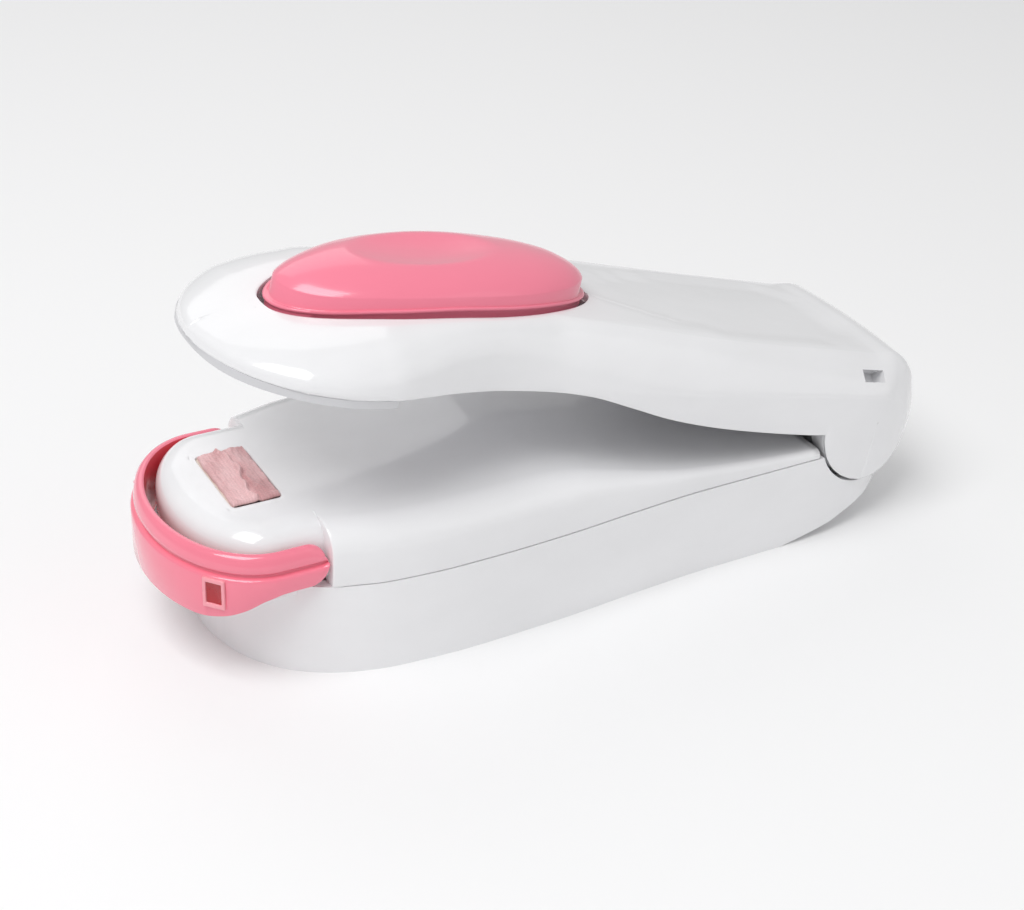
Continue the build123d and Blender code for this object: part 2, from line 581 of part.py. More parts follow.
def thumb_springs():
    low = height_at(ARM_LOW, -40.0) + 0.45
    one = coil(2.6, 0.5, 36.6 - low - 0.1, 5)
    return Compound([Pos(x, 0, low + 0.05) * one for x in (-40.0, -10.0)])


def hinge_pin():
    reach = HINGE_HALF - LOBE_T + 3.5
    return rod(HINGE_X, HINGE_Z, PIN_R, -reach, reach)


def torsion_spring():
    """Round the hinge pin, with one leg down into the base and one forward under the arm."""
    wire_r, radius, turns, pitch = 0.45, 3.2, 7.25, 1.25
    path = Helix(pitch=pitch, height=pitch * turns, radius=radius)
    start, end = path @ 0, path @ 1
    down, ahead = path % 0, path % 1
    body = sweep(Plane(origin=start, z_dir=down) * Circle(wire_r), path, is_frenet=True)
    body += extrude(Plane(origin=start, z_dir=down) * Circle(wire_r), -9.0)
    body += extrude(Plane(origin=end, z_dir=ahead) * Circle(wire_r), 10.0)
    return Pos(HINGE_X, 4.6, HINGE_Z) * Rot(90, 0, 0) * body


FIXED = {
    "lower_shell": lower_shell, "deck_cover": deck_cover, "base_screws": base_screws,
    "battery_door": battery_door, "guard_ring": guard_ring, "heater_block": heater_block,
    "insulating_pad": insulating_pad, "heating_strip": heating_strip, "heat_tape": heat_tape,
    "heater_tower": heater_tower, "heater_springs": heater_springs, "fixed_contact": fixed_contact,
    "moving_contact": moving_contact, "strip_terminals": strip_terminals,
    "cell_left": lambda: cell(-CELL_PITCH / 2, True), "cell_right": lambda: cell(CELL_PITCH / 2, False),
    "plus_contact": plus_contact, "minus_contact": minus_contact, "bridge_contact": bridge_contact,
    "wire_red": lambda: wire(-1), "wire_black": lambda: wire(1), "torsion_spring": torsion_spring,
}
ON_ARM = {
    "arm_top_shell": arm_top_shell, "arm_under_shell": arm_under_shell, "arm_screws": arm_screws,
    "press_plate": press_plate, "press_pad": press_pad, "thumb_pad": thumb_pad,
    "thumb_springs": thumb_springs, "hinge_pin": hinge_pin,
}

if __name__ == "__main__":
    os.makedirs("parts", exist_ok=True)
    for name, make in FIXED.items():
        export_step(make(), f"parts/{name}.step")
    for name, make in ON_ARM.items():
        export_step(opened(make()), f"parts/{name}.step")
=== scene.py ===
"""Looks of the handheld bag heat sealer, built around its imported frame.

Each sub-assembly is a class whose fields hold its sizes in millimetres. The frame is in metres, +Z up, with
+X from the nose to the hinge. Pieces of the arm are drawn closed and then turned open about the hinge.
"""

import json
import logging
import math
from dataclasses import dataclass, field
from enum import Enum

import bmesh
import bpy
from mathutils import Matrix, Vector, noise

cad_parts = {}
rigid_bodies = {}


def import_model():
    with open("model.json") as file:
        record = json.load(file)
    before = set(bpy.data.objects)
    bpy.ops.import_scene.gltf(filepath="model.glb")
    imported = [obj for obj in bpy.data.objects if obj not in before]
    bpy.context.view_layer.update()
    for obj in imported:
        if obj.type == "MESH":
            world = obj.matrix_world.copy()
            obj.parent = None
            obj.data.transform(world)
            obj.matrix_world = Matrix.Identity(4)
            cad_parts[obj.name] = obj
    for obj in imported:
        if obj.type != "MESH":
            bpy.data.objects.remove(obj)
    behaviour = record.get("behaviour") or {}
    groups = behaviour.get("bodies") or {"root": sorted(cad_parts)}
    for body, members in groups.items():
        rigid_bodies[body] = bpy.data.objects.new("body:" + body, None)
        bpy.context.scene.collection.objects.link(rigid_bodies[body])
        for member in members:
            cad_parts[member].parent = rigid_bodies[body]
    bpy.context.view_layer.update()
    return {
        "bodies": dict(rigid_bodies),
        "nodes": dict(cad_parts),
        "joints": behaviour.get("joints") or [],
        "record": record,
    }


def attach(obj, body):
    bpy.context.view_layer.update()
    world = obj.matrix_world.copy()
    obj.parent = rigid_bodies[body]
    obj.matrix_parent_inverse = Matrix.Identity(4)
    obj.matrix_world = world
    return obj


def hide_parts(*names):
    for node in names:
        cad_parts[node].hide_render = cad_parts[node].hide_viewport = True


LOG = logging.getLogger("bag_sealer")
MM = 0.001
Point = tuple[float, float]
Colour = tuple[float, float, float]


class Side(Enum):
    """The two sides of the sealer, by the sign of Y: the lanyard hole is on the near one."""

    NEAR = -1
    FAR = 1

    @property
    def word(self) -> str:
        """The side's word in the name of a piece."""
        return self.name.lower()


@dataclass(frozen=True)
class Hinge:
    """The arm's hinge, in millimetres: its axis runs along Y, and at rest the arm stands open."""

    x: float
    z: float
    open_angle: float

    @classmethod
    def of(cls, frame: dict[str, object]) -> "Hinge":
        """Reads the hinge from the frame.

        Args:
            frame: the loaded frame.

        Returns:
            The hinge, with its place to the nearest micrometre.
        """
        joint = next(j for j in frame["joints"] if j["name"] == "arm_hinge")
        x, _, z = (round(v / MM, 3) for v in joint["pos_m"])
        return cls(x, z, math.radians(-joint["range_deg"][0]))

    def opened(self) -> Matrix:
        """The turn that takes a piece of the closed arm to where it stands open."""
        place = Matrix.Translation((self.x, 0.0, self.z))
        return place @ Matrix.Rotation(self.open_angle, 4, "Y") @ place.inverted()


def along(table: list[Point], x: float) -> float:
    """Smooth height of a station table at x.

    Args:
        table: stations (x, value) in rising x.
        x: where to read it.

    Returns:
        The value there, eased between stations with a cubic that keeps their order.
    """
    if x <= table[0][0]:
        return table[0][1]
    if x >= table[-1][0]:
        return table[-1][1]
    i = next(k for k in range(len(table) - 1) if x <= table[k + 1][0])
    (x0, y0), (x1, y1) = table[i], table[i + 1]
    slope = [(b[1] - a[1]) / (b[0] - a[0]) for a, b in zip(table, table[1:])]

    def tangent(k: int) -> float:
        """Slope at a station, level where the table turns.

            Args:
                k: the station's number.

            Returns:
                The slope.
            """
        if k == 0:
            return slope[0]
        if k == len(table) - 1:
            return slope[-1]
        a, b = slope[k - 1], slope[k]
        return 0.0 if a * b <= 0 else 2 * a * b / (a + b)

    h, t = x1 - x0, (x - x0) / (x1 - x0)
    m0, m1 = tangent(i) * h, tangent(i + 1) * h
    return ((2 * t**3 - 3 * t**2 + 1) * y0 + (t**3 - 2 * t**2 + t) * m0
            + (-2 * t**3 + 3 * t**2) * y1 + (t**3 - t**2) * m1)


# ---- finishes --------------------------------------------------------------------------------------------
class Graph:
    """A material's node tree with short ways to add and join nodes."""

    def __init__(self, name: str) -> None:
        """Starts an empty tree with one shader.

        Args:
            name: the material's name.
        """
        self.material = bpy.data.materials.new(name)
        self.material.use_nodes = True
        self.tree = self.material.node_tree
        self.shader = self.tree.nodes["Principled BSDF"]
        self.place = self.add("ShaderNodeTexCoord").outputs["Object"]

    def add(self, kind: str, **settings: object) -> bpy.types.Node:
        """Adds a node and sets its properties.

        Args:
            kind: Blender's node type.
            settings: properties of the node.

        Returns:
            The new node.
        """
        node = self.tree.nodes.new(kind)
        for key, value in settings.items():
            setattr(node, key, value)
        return node

    def join(self, source: bpy.types.NodeSocket, target: bpy.types.NodeSocket) -> None:
        """Links two sockets."""
        self.tree.links.new(source, target)

    def noise(self, scale: float, detail: float = 3.0, stretch: tuple[float, float, float] = (1, 1, 1)
              ) -> bpy.types.NodeSocket:
        """Noise on object coordinates.

        Args:
            scale: features per metre.
            detail: octaves.
            stretch: scale of each axis.

        Returns:
            The factor socket.
        """
        mapping = self.add("ShaderNodeMapping")
        mapping.inputs["Scale"].default_value = stretch
        self.join(self.place, mapping.inputs["Vector"])
        noise = self.add("ShaderNodeTexNoise")
        noise.inputs["Scale"].default_value = scale
        noise.inputs["Detail"].default_value = detail
        self.join(mapping.outputs["Vector"], noise.inputs["Vector"])
        return noise.outputs["Fac"]

    def ramp(self, source: bpy.types.NodeSocket, low: Colour, high: Colour, start: float = 0.3,
             end: float = 0.7) -> bpy.types.NodeSocket:
        """A colour ramp between two colours.

        Args:
            source: factor socket.
            low: colour at the start.
            high: colour at the end.
            start: factor of the first colour.
            end: factor of the second.

        Returns:
            The colour socket.
        """
        ramp = self.add("ShaderNodeValToRGB")
        ramp.color_ramp.elements[0].position = start
        ramp.color_ramp.elements[0].color = (*low, 1)
        ramp.color_ramp.elements[1].position = end
        ramp.color_ramp.elements[1].color = (*high, 1)
        self.join(source, ramp.inputs["Fac"])
        return ramp.outputs["Color"]

    def span(self, source: bpy.types.NodeSocket, low: float, high: float) -> bpy.types.NodeSocket:
        """Maps a factor to a range of numbers.

        Args:
            source: factor socket.
            low: number at the factor's low end.
            high: number at its high end.

        Returns:
            The number's socket.
        """
        node = self.add("ShaderNodeMapRange")
        node.inputs["From Min"].default_value = 0.3
        node.inputs["From Max"].default_value = 0.7
        node.inputs["To Min"].default_value = low
        node.inputs["To Max"].default_value = high
        self.join(source, node.inputs["Value"])
        return node.outputs["Result"]

    def bump(self, height: bpy.types.NodeSocket, distance: float, strength: float = 1.0,
             under: bpy.types.NodeSocket | None = None) -> bpy.types.NodeSocket:
        """A bump from a height.

        Args:
            height: height socket.
            distance: depth in metres.
            strength: how much of it shows.
            under: a normal this one adds to.

        Returns:
            The normal socket.
        """
        node = self.add("ShaderNodeBump")
        node.inputs["Distance"].default_value = distance
        node.inputs["Strength"].default_value = strength
        self.join(height, node.inputs["Height"])
        if under:
            self.join(under, node.inputs["Normal"])
        return node.outputs["Normal"]


@dataclass(frozen=True)
class MouldedPlastic:
    """Injection-moulded plastic: a near-even colour, faint flow marks and a slight orange peel."""

    name: str
    colour: Colour
    gloss: float = 0.18
    coat: float = 0.35
    peel: float = 0.00002
    grain: float = 0.0
    mottling: float = 0.03

    def make(self) -> bpy.types.Material:
        """Builds the material."""
        g = Graph(self.name)
        low = tuple(c * (1 - self.mottling) for c in self.colour)
        high = tuple(min(1.0, c * (1 + self.mottling * 0.6)) for c in self.colour)
        g.join(g.ramp(g.noise(38, 4, (1, 2, 2)), low, high), g.shader.inputs["Base Color"])
        g.join(g.span(g.noise(160, 5), self.gloss * 0.85, self.gloss * 1.25), g.shader.inputs["Roughness"])
        normal = g.bump(g.noise(420, 2), self.peel, 0.6)
        if self.grain:
            normal = g.bump(g.noise(5200, 3), self.grain, 0.8, normal)
        g.join(normal, g.shader.inputs["Normal"])
        g.shader.inputs["Coat Weight"].default_value = self.coat
        g.shader.inputs["Coat Roughness"].default_value = 0.06
        g.shader.inputs["IOR"].default_value = 1.5
        return g.material


@dataclass(frozen=True)
class Rubbery:
    """Silicone or cable insulation: soft gloss, dusty pores and a satin bloom."""

    name: str
    colour: Colour
    gloss: float = 0.5

    def make(self) -> bpy.types.Material:
        """Builds the material."""
        g = Graph(self.name)
        g.join(g.ramp(g.noise(240, 5), tuple(c * 0.88 for c in self.colour), self.colour),
               g.shader.inputs["Base Color"])
        g.join(g.span(g.noise(900, 4), self.gloss * 0.8, min(1.0, self.gloss * 1.2)),
               g.shader.inputs["Roughness"])
        g.join(g.bump(g.noise(2600, 4), 0.00004, 0.7), g.shader.inputs["Normal"])
        g.shader.inputs["Sheen Weight"].default_value = 0.15
        return g.material


@dataclass(frozen=True)
class Metal:
    """Plated or bare metal with a drawn grain and faint handling marks."""

    name: str
    colour: Colour
    gloss: float = 0.28
    grain: tuple[float, float, float] = (1, 14, 14)

    def make(self) -> bpy.types.Material:
        """Builds the material."""
        g = Graph(self.name)
        g.join(g.ramp(g.noise(300, 4), tuple(c * 0.82 for c in self.colour), self.colour),
               g.shader.inputs["Base Color"])
        g.join(g.span(g.noise(900, 5, self.grain), self.gloss * 0.7, self.gloss * 1.5),
               g.shader.inputs["Roughness"])
        g.join(g.bump(g.noise(2400, 3, self.grain), 0.00001, 0.7), g.shader.inputs["Normal"])
        g.shader.inputs["Metallic"].default_value = 1.0
        return g.material


@dataclass(frozen=True)
class CoatedCloth:
    """Slip tape: a fine glass weave under a satin coat, with browned streaks along the heated line."""

    name: str
    colour: Colour
    streak: Colour

    def make(self) -> bpy.types.Material:
        """Builds the material."""
        g = Graph(self.name)
        weave = []
        for axis in ("X", "Y"):
            wave = g.add("ShaderNodeTexWave", wave_type="BANDS", bands_direction=axis)
            wave.inputs["Scale"].default_value = 620
            wave.inputs["Distortion"].default_value = 0.6
            g.join(g.place, wave.inputs["Vector"])
            weave.append(wave.outputs["Fac"])
        mix = g.add("ShaderNodeMath", operation="MULTIPLY")
        g.join(weave[0], mix.inputs[0])
        g.join(weave[1], mix.inputs[1])
        stain = g.ramp(g.noise(230, 5, (1.6, 0.35, 1)), self.streak, self.colour, 0.36, 0.6)
        thread = g.ramp(mix.outputs[0], (0.86, 0.86, 0.86), (1, 1, 1), 0.0, 0.5)
        blend = g.add("ShaderNodeMix", data_type="RGBA", blend_type="MULTIPLY")
        blend.inputs["Factor"].default_value = 0.7
        g.join(stain, blend.inputs["A"])
        g.join(thread, blend.inputs["B"])
        g.join(blend.outputs["Result"], g.shader.inputs["Base Color"])
        g.join(g.span(g.noise(700, 4), 0.28, 0.5), g.shader.inputs["Roughness"])
        normal = g.bump(mix.outputs[0], 0.00003, 0.6)
        g.join(g.bump(g.noise(420, 4, (1.4, 0.5, 1)), 0.00025, 0.7, normal), g.shader.inputs["Normal"])
        g.shader.inputs["Sheen Weight"].default_value = 0.1
        return g.material


class Finish:
    """The sealer's finishes, one for each slot of the record."""

    def __init__(self) -> None:
        """Makes every material once."""
        self.made: dict[str, bpy.types.Material] = {m.name: m.make() for m in (
            MouldedPlastic("white_shell", (0.86, 0.86, 0.875), gloss=0.14, coat=0.5),
            MouldedPlastic("door_white", (0.80, 0.80, 0.81), gloss=0.42, coat=0.0, grain=0.00003),
            MouldedPlastic("dark_liner", (0.64, 0.64, 0.66), gloss=0.38, coat=0.05, grain=0.00002),
            MouldedPlastic("tower_white", (0.70, 0.70, 0.71), gloss=0.45, coat=0.0),
            MouldedPlastic("pink_ring", (0.93, 0.225, 0.315), gloss=0.13, coat=0.55, mottling=0.02),
            MouldedPlastic("pink_pad", (0.93, 0.235, 0.335), gloss=0.2, coat=0.4, mottling=0.02),
            MouldedPlastic("ceramic", (0.72, 0.67, 0.58), gloss=0.6, coat=0.0, grain=0.00005),
            MouldedPlastic("cell_sleeve", (0.05, 0.20, 0.11), gloss=0.22, coat=0.3),
            # painted shade: a dark red that stands in for the shade in each window's pocket
            MouldedPlastic("window_painted_shade", (0.42, 0.006, 0.015), gloss=0.25, coat=0.4),
            # painted shade: a darker, deeper red copy of the ring's pink for its shadowed inner wall
            MouldedPlastic("ring_inside_painted_shade", (0.78, 0.05, 0.075), gloss=0.3, coat=0.2),
            # painted highlight: a lighter copy of the ring's pink for the raised window frames, which catch
            # the light
            MouldedPlastic("frame_painted_highlight", (0.95, 0.36, 0.42), gloss=0.25, coat=0.3),
            Rubbery("silicone_felt", (0.45, 0.09, 0.08), 0.7),
            Rubbery("silicone_pad", (0.78, 0.75, 0.72), 0.55),
            Rubbery("wire_red", (0.5, 0.01, 0.01), 0.35),
            Rubbery("wire_black", (0.01, 0.01, 0.011), 0.35),
            Metal("strip_alloy", (0.45, 0.42, 0.40), 0.35),
            Metal("steel", (0.56, 0.57, 0.58), 0.3),
            Metal("spring_steel", (0.66, 0.67, 0.68), 0.18),
            Metal("contact_metal", (0.60, 0.56, 0.46), 0.28),
            Metal("brass", (0.66, 0.46, 0.18), 0.28),
            CoatedCloth("slip_tape", (0.88, 0.56, 0.57), (0.66, 0.34, 0.35)),
        )}

    def dress(self, piece: bpy.types.Object, slot: str) -> None:
        """Gives a piece one finish.

        Args:
            piece: the object to dress.
            slot: the finish's name.
        """
        piece.data.materials.clear()
        piece.data.materials.append(self.made[slot])


def across(half: list[Vector]) -> list[Vector]:
    """A half section, drawn from its edge to the centre line, and its mirror image back to the other edge."""
    return half + [Vector((p.x, -p.y, p.z)) for p in reversed(half[:-1])]


# ---- making ----------------------------------------------------------------------------------------------
class Maker:
    """Turns bmesh shapes drawn in millimetres into finished objects in the frame."""

    def __init__(self, finish: Finish) -> None:
        """Keeps the finishes.

        Args:
            finish: the finishes to dress pieces with.
        """
        self.finish = finish

    def loops(self, rings: list[list[Vector]], closed: bool = True, caps: tuple[bool, bool] = (True, True)
              ) -> bmesh.types.BMesh:
        """Lays a grid over a row of rings as a skin.

        Args:
            rings: rings of equally many points, in millimetres.
            closed: whether each ring closes on itself.
            caps: whether the first and the last ring are filled.

        Returns:
            The open mesh.
        """
        bm = bmesh.new()
        columns = len(rings[0]) + closed
        bmesh.ops.create_grid(bm, x_segments=columns - 1, y_segments=len(rings) - 1, size=1.0)
        verts = list(bm.verts)
        rows = [verts[i * columns:(i + 1) * columns] for i in range(len(rings))]
        for row, ring in zip(rows, rings):
            for v, at in zip(row, ring + ring[:1]):
                v.co = at
        if closed:
            bmesh.ops.weld_verts(bm, targetmap={row[-1]: row[0] for row in rows})
            for row, filled in zip((rows[0], rows[-1]), caps):
                rim = set(row[:-1])
                if filled:
                    edges = [e for e in bm.edges if e.is_boundary and rim.issuperset(e.verts)]
                    bmesh.ops.contextual_create(bm, geom=edges)
        bmesh.ops.remove_doubles(bm, verts=bm.verts, dist=0.002)
        bmesh.ops.dissolve_degenerate(bm, edges=bm.edges, dist=0.001)
        bmesh.ops.recalc_face_normals(bm, faces=bm.faces)
        if not closed:
            bm.normal_update()
            side = max(bm.faces, key=lambda f: f.calc_center_median().y)
            if side.normal.y < 0:
                bmesh.ops.reverse_faces(bm, faces=bm.faces)
        return bm

    def piece(self, name: str, bm: bmesh.types.BMesh, slot: str, body: str, *stands_for: str,
              turn: Matrix | None = None, wall: float = 0.0, sharp: float = 35.0) -> bpy.types.Object:
        """Makes a drawn shape a dressed object that rides on a body.

        Args:
            name: the piece's name.
            bm: the shape in millimetres, freed here.
            slot: its finish.
            body: the body that it rides on.
            stands_for: CAD nodes that it replaces.
            turn: a turn in millimetres, such as the arm's opening.
            wall: thickness given inwards to an open skin.
            sharp: angle in degrees above which an edge stays sharp.

        Returns:
            The object.
        """
        bmesh.ops.transform(bm, matrix=Matrix.Scale(MM, 4) @ (turn or Matrix.Identity(4)), verts=bm.verts)
        for face in bm.faces:
            face.smooth = True
        for edge in bm.edges:
            if len(edge.link_faces) == 2 and edge.calc_face_angle(0.0) > math.radians(sharp):
                edge.smooth = False
        mesh = bpy.data.meshes.new(name)
        bm.to_mesh(mesh)
        bm.free()
        obj = bpy.data.objects.new(name, mesh)
        bpy.context.scene.collection.objects.link(obj)
        if wall:
            shell = obj.modifiers.new("wall", "SOLIDIFY")
            shell.thickness = wall * MM
            shell.offset = -1.0
        self.finish.dress(obj, slot)
        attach(obj, body)
        if stands_for:
            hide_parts(*stands_for)
        LOG.info("%s: %d faces on %s", name, len(mesh.polygons), body)
        return obj


def rounded(steps: int, radius: float) -> list[Point]:
    """A quarter round from a wall to a top.

    Args:
        steps: how many points.
        radius: its radius.

    Returns:
        Pairs of inward run and drop below the top, from the wall up.
    """
    return [(radius * (1 - math.cos(a)), radius * (1 - math.sin(a)))
            for a in (math.pi / 2 * i / steps for i in range(steps + 1))]


@dataclass
class ArmShell:
    """The arm's top shell: a broad rounded head with a well for the thumb pad, a neck and a hinge hood."""

    hinge: Hinge
    tip: float = -68.0
    nose_edge: float = -56.5
    head_x: float = -46.0
    head_half: float = 25.0
    neck_half: float = 22.62
    crown: float = 1.1
    hood_radius: float = 11.8
    well_centre: float = -26.2
    well_long: float = 30.1
    well_wide: float = 14.2
    well_depth: float = 4.2
    well_lip: list[Point] = field(default_factory=lambda: [(0.3, 0.12), (0.06, 0.45), (0.0, 0.9)])
    panel_from: float = 2.0
    panel_depth: float = 0.4
    panel_half: list[Point] = field(default_factory=lambda: [
        (2.0, 2.0), (10.0, 7.0), (20.0, 11.0), (32.0, 13.4), (46.0, 13.8), (54.0, 12.0), (60.0, 6.0)])
    plan: list[Point] = field(default_factory=lambda: [
        (-56.5, 22.0), (-52.5, 23.7), (-49.0, 24.7), (-45.5, 25.0), (-42.0, 24.8), (-36.0, 23.5),
        (-31.0, 22.1), (-26.0, 21.0), (-21.0, 20.3), (-11.0, 19.9), (-2.0, 20.7), (12.0, 22.0), (30.0, 22.6),
        (60.0, 22.62)])
    low: list[Point] = field(default_factory=lambda: [
        (-68.0, 29.3), (-40.0, 29.2), (-26.0, 28.6), (-14.0, 27.95), (-4.0, 27.1), (5.0, 25.1), (13.0, 23.1),
        (21.0, 21.7), (30.0, 20.6), (40.0, 19.7), (47.0, 19.3), (60.0, 19.3)])
    smooth_to: float = -44.0
    smooth_rounds: int = 14
    wall: float = 1.5
    hole_x: Point = (55.5, 61.0)
    hole_y: Point = (-21.15, -19.2)
    hole_sink: tuple[float, float, float] = (0.0, 2.6, -2.0)
    hood_wall: Point = (5.1, 11.0)
    hood_run: Point = (6.8, 0.8)
    hood_square: Point = (1.35, 2.0)
    cheek_from: float = -34.0
    cheek_turn: float = 146.0
    cheek_inner: float = 17.8
    cheek_core: float = 22.2
    roof_end: float = -35.5
    swell: float = 0.13
    swell_from: float = 20.0
    round_from: float = 58.0
    round_run: float = 24.2
    top: list[Point] = field(default_factory=lambda: [
        (-68.0, 30.6), (-66.8, 31.9), (-63.0, 33.2), (-55.4, 35.3), (-40.0, 38.3), (-25.0, 39.5),
        (-10.0, 39.3), (5.0, 38.2), (20.0, 36.6), (35.0, 35.2), (48.0, 34.2), (60.0, 33.3)])
    shoulder: list[Point] = field(default_factory=lambda: [
        (-68.0, 30.2), (-50.0, 30.8), (-35.0, 30.6), (-20.0, 29.7), (-8.0, 28.9), (5.0, 28.0), (30.0, 27.4),
        (60.0, 26.6)])
    run: list[Point] = field(default_factory=lambda: [
        (-68.0, 12.0), (-45.0, 10.4), (-20.0, 8.0), (0.0, 6.6), (25.0, 6.6), (60.0, 6.8)])
    squareness: list[Point] = field(default_factory=lambda: [
        (-68.0, 1.9), (-40.0, 1.95), (-10.0, 1.75), (15.0, 1.35), (60.0, 1.35)])

    def half(self, x: float) -> float:
        """Half width of the plan: half an ellipse at the nose, then the station table.

        Args:
            x: the station.

        Returns:
            The half width there.
        """
        if x >= self.nose_edge:
            return along(self.plan, x)
        share = (self.head_x - x) / (self.head_x - self.tip)
        return self.head_half * math.sqrt(max(0.0, 1 - share**2))

    def well(self, x: float) -> float:
        """Half width of the thumb well at x."""
        t = 1 - ((x - self.well_centre) / self.well_long) ** 2
        return self.well_wide * math.sqrt(t) if t > 0 else 0.0

    def lower_edge(self, x: float) -> float:
        """Height of the wall's lower edge: the neck's line, then the round cheek's underside.

        Args:
            x: the station.

        Returns:
            The height there.
        """
        reach = self.hood_radius**2 - (x - self.hinge.x) ** 2
        edge = along(self.low, x)
        return min(edge, self.hinge.z - math.sqrt(reach)) if reach > 0 else edge

    def panel(self, x: float, y: float) -> float:
        """Depth of the faint spade-shaped panel behind the well.

        Args:
            x: place along the neck.
            y: place across it.

        Returns:
            The depth there, none outside the panel.
        """
        if not self.panel_from < x < self.hinge.x:
            return 0.0
        edge = (along(self.panel_half, x) - abs(y)) / 0.9
        ends = min(1.0, (self.hinge.x - x) / 2.0)
        return self.panel_depth * min(1.0, max(0.0, edge)) * ends

    @staticmethod
    def bend(half: float, run: float, start: float, end: float, power: float) -> list[Point]:
        """The bent corner of a section.

        Args:
            half: half width of the wall.
            run: how far in the corner reaches.
            start: height where it leaves the wall.
            end: height where it meets the top.
            power: its squareness, where 1 is an ellipse and less is squarer.

        Returns:
            Points from the wall to the top.
        """
        turns = (math.pi / 2 * i / 12 for i in range(13))
        return [(half - run * (1 - math.cos(a) ** power), start + (end - start) * math.sin(a) ** power)
                for a in turns]

    def section(self, x: float) -> list[Point]:
        """Half section at x.

        Args:
            x: the station.

        Returns:
            (y, z) from the lower edge out, up and over to the centre line.
        """
        half, low, top = self.half(x), self.lower_edge(x), along(self.top, x)
        well = min(self.well(x), max(0.0, half - 3.0))
        start = min(along(self.shoulder, x), top - 0.4)
        run = min(along(self.run, x), max(0.0, half - well - 1.1))
        power = 2 / along(self.squareness, x)
        lip = min(1.0, half / 3.0)

        def lid(y: float) -> float:
            """Height of the top at y."""
            return top - self.crown * (y / max(half, 1.0)) ** 2 - self.panel(x, y)

        wall = start - low
        points = [(max(half - 0.45 * lip, 0), low), (max(half - 0.12 * lip, 0), low + 0.15 * lip),
                  (half, low + min(0.6, 0.4 * wall)), (half, low + 0.5 * wall), (half, start - 0.3)]
        inner = half - run
        points += self.bend(half, run, start, lid(inner), power)
        rim = min(1.0, well / 1.5)
        for i in range(1, 9):
            y = inner + (well + 0.8 * rim - inner) * i / 8
            points.append((y, lid(y)))
        for outward, drop in self.well_lip:
            points.append((well + outward * rim, lid(well) - drop * rim))
        depth = self.well_depth * rim
        points.append((well, lid(well) - depth))
        points.append((well * 0.94, lid(well) - depth - 0.2 * rim))
        points.append((0.0, lid(0) - depth - 0.2 * rim))
        return points

    def hood(self, angle: float) -> list[Point]:
        """Half section of the hood, which starts as the neck's section and grows square as it turns down.

        Args:
            angle: angle round the hinge, in degrees above the rear.

        Returns:
            (y, radius) from the outer wall to the centre line.
        """
        turned = min(1.0, max(0.0, 60.0 - angle) / 95.0)
        half, top = self.neck_half, self.hood_radius
        if angle > self.swell_from:
            share = (angle - self.swell_from) / (90.0 - self.swell_from)
            top *= 1 + self.swell * math.sin(math.pi * share) ** 2
        start, run, square = (neck + (rear - neck) * turned
                              for neck, rear in (self.hood_wall, self.hood_run, self.hood_square))
        power = 2 / square
        flat = self.crown * (1 - turned)
        points = [(half, 0.0), (half, 0.3), (half, 0.9), (half, 0.5 * start), (half, start - 0.3)]
        inner = half - run
        points += self.bend(half, run, start, top - flat * (inner / half) ** 2, power)
        for i in range(1, 9):
            y = inner * (1 - i / 8)
            points.append((y, top - flat * (y / half) ** 2))
        points += [(0.0, top)] * (len(self.section(30.0)) - len(points))
        return points if angle > self.roof_end else [(max(y, self.cheek_inner), r) for y, r in points]

    def rounded_end(self, bm: bmesh.types.BMesh) -> None:
        """Draws the hinge end's two corners in towards the rear, and leaves the room between the cheeks.

        Args:
            bm: the shell's skin or a cheek.
        """
        for v in bm.verts:
            if v.co.x > self.round_from and abs(v.co.y) > self.cheek_inner:
                share = math.sqrt(1 - ((v.co.x - self.round_from) / self.round_run) ** 2)
                full = self.neck_half - self.cheek_inner
                spare = max(self.neck_half * share - self.cheek_inner, 0.3) / full
                side = 1 if v.co.y > 0 else -1
                v.co.y = side * (self.cheek_inner + (abs(v.co.y) - self.cheek_inner) * spare)

    def open_rear(self, bm: bmesh.types.BMesh) -> None:
        """Takes away the web between the two cheeks below the roof's end.

        Args:
            bm: the shell's skin.
        """
        web = []
        for face in bm.faces:
            at = face.calc_center_median()
            low = math.degrees(math.atan2(at.z - self.hinge.z, at.x - self.hinge.x))
            if at.x > self.hinge.x - 0.01 and low < self.roof_end and abs(at.y) < self.cheek_inner - 0.1:
                web.append(face)
        bmesh.ops.delete(bm, geom=web, context="FACES")

    def stations(self) -> list[float]:
        """Stations along the arm, close together at the nose and at the ends of the well."""
        nose = [self.tip + (self.head_x - self.tip) * (1 - math.cos(math.pi / 2 * i / 16)) for i in range(17)]
        left, right = self.well_centre - self.well_long, self.well_centre + self.well_long
        well = [self.well_centre - self.well_long * math.cos(math.pi * i / 48) for i in range(49)]
        ends = [left - 0.02, right + 0.02]
        neck = [right + 0.8 + 1.6 * i for i in range(int((self.hinge.x - right - 0.8) / 1.6))]
        cheek = [self.hinge.x - self.hood_radius * math.cos(math.radians(a))
                 for a in (11, 13, 16, 20, 25, 31, 38, 46, 55, 65, 77, 90)]
        neck = [x for x in neck if x < cheek[0] - 0.5]
        rows = sorted(set(round(x, 4) for x in [*nose, *well, *ends, *neck, *cheek]))
        kept = [rows[0]]
        for x in rows[1:]:
            if x - kept[-1] > 0.015:
                kept.append(x)
        return kept

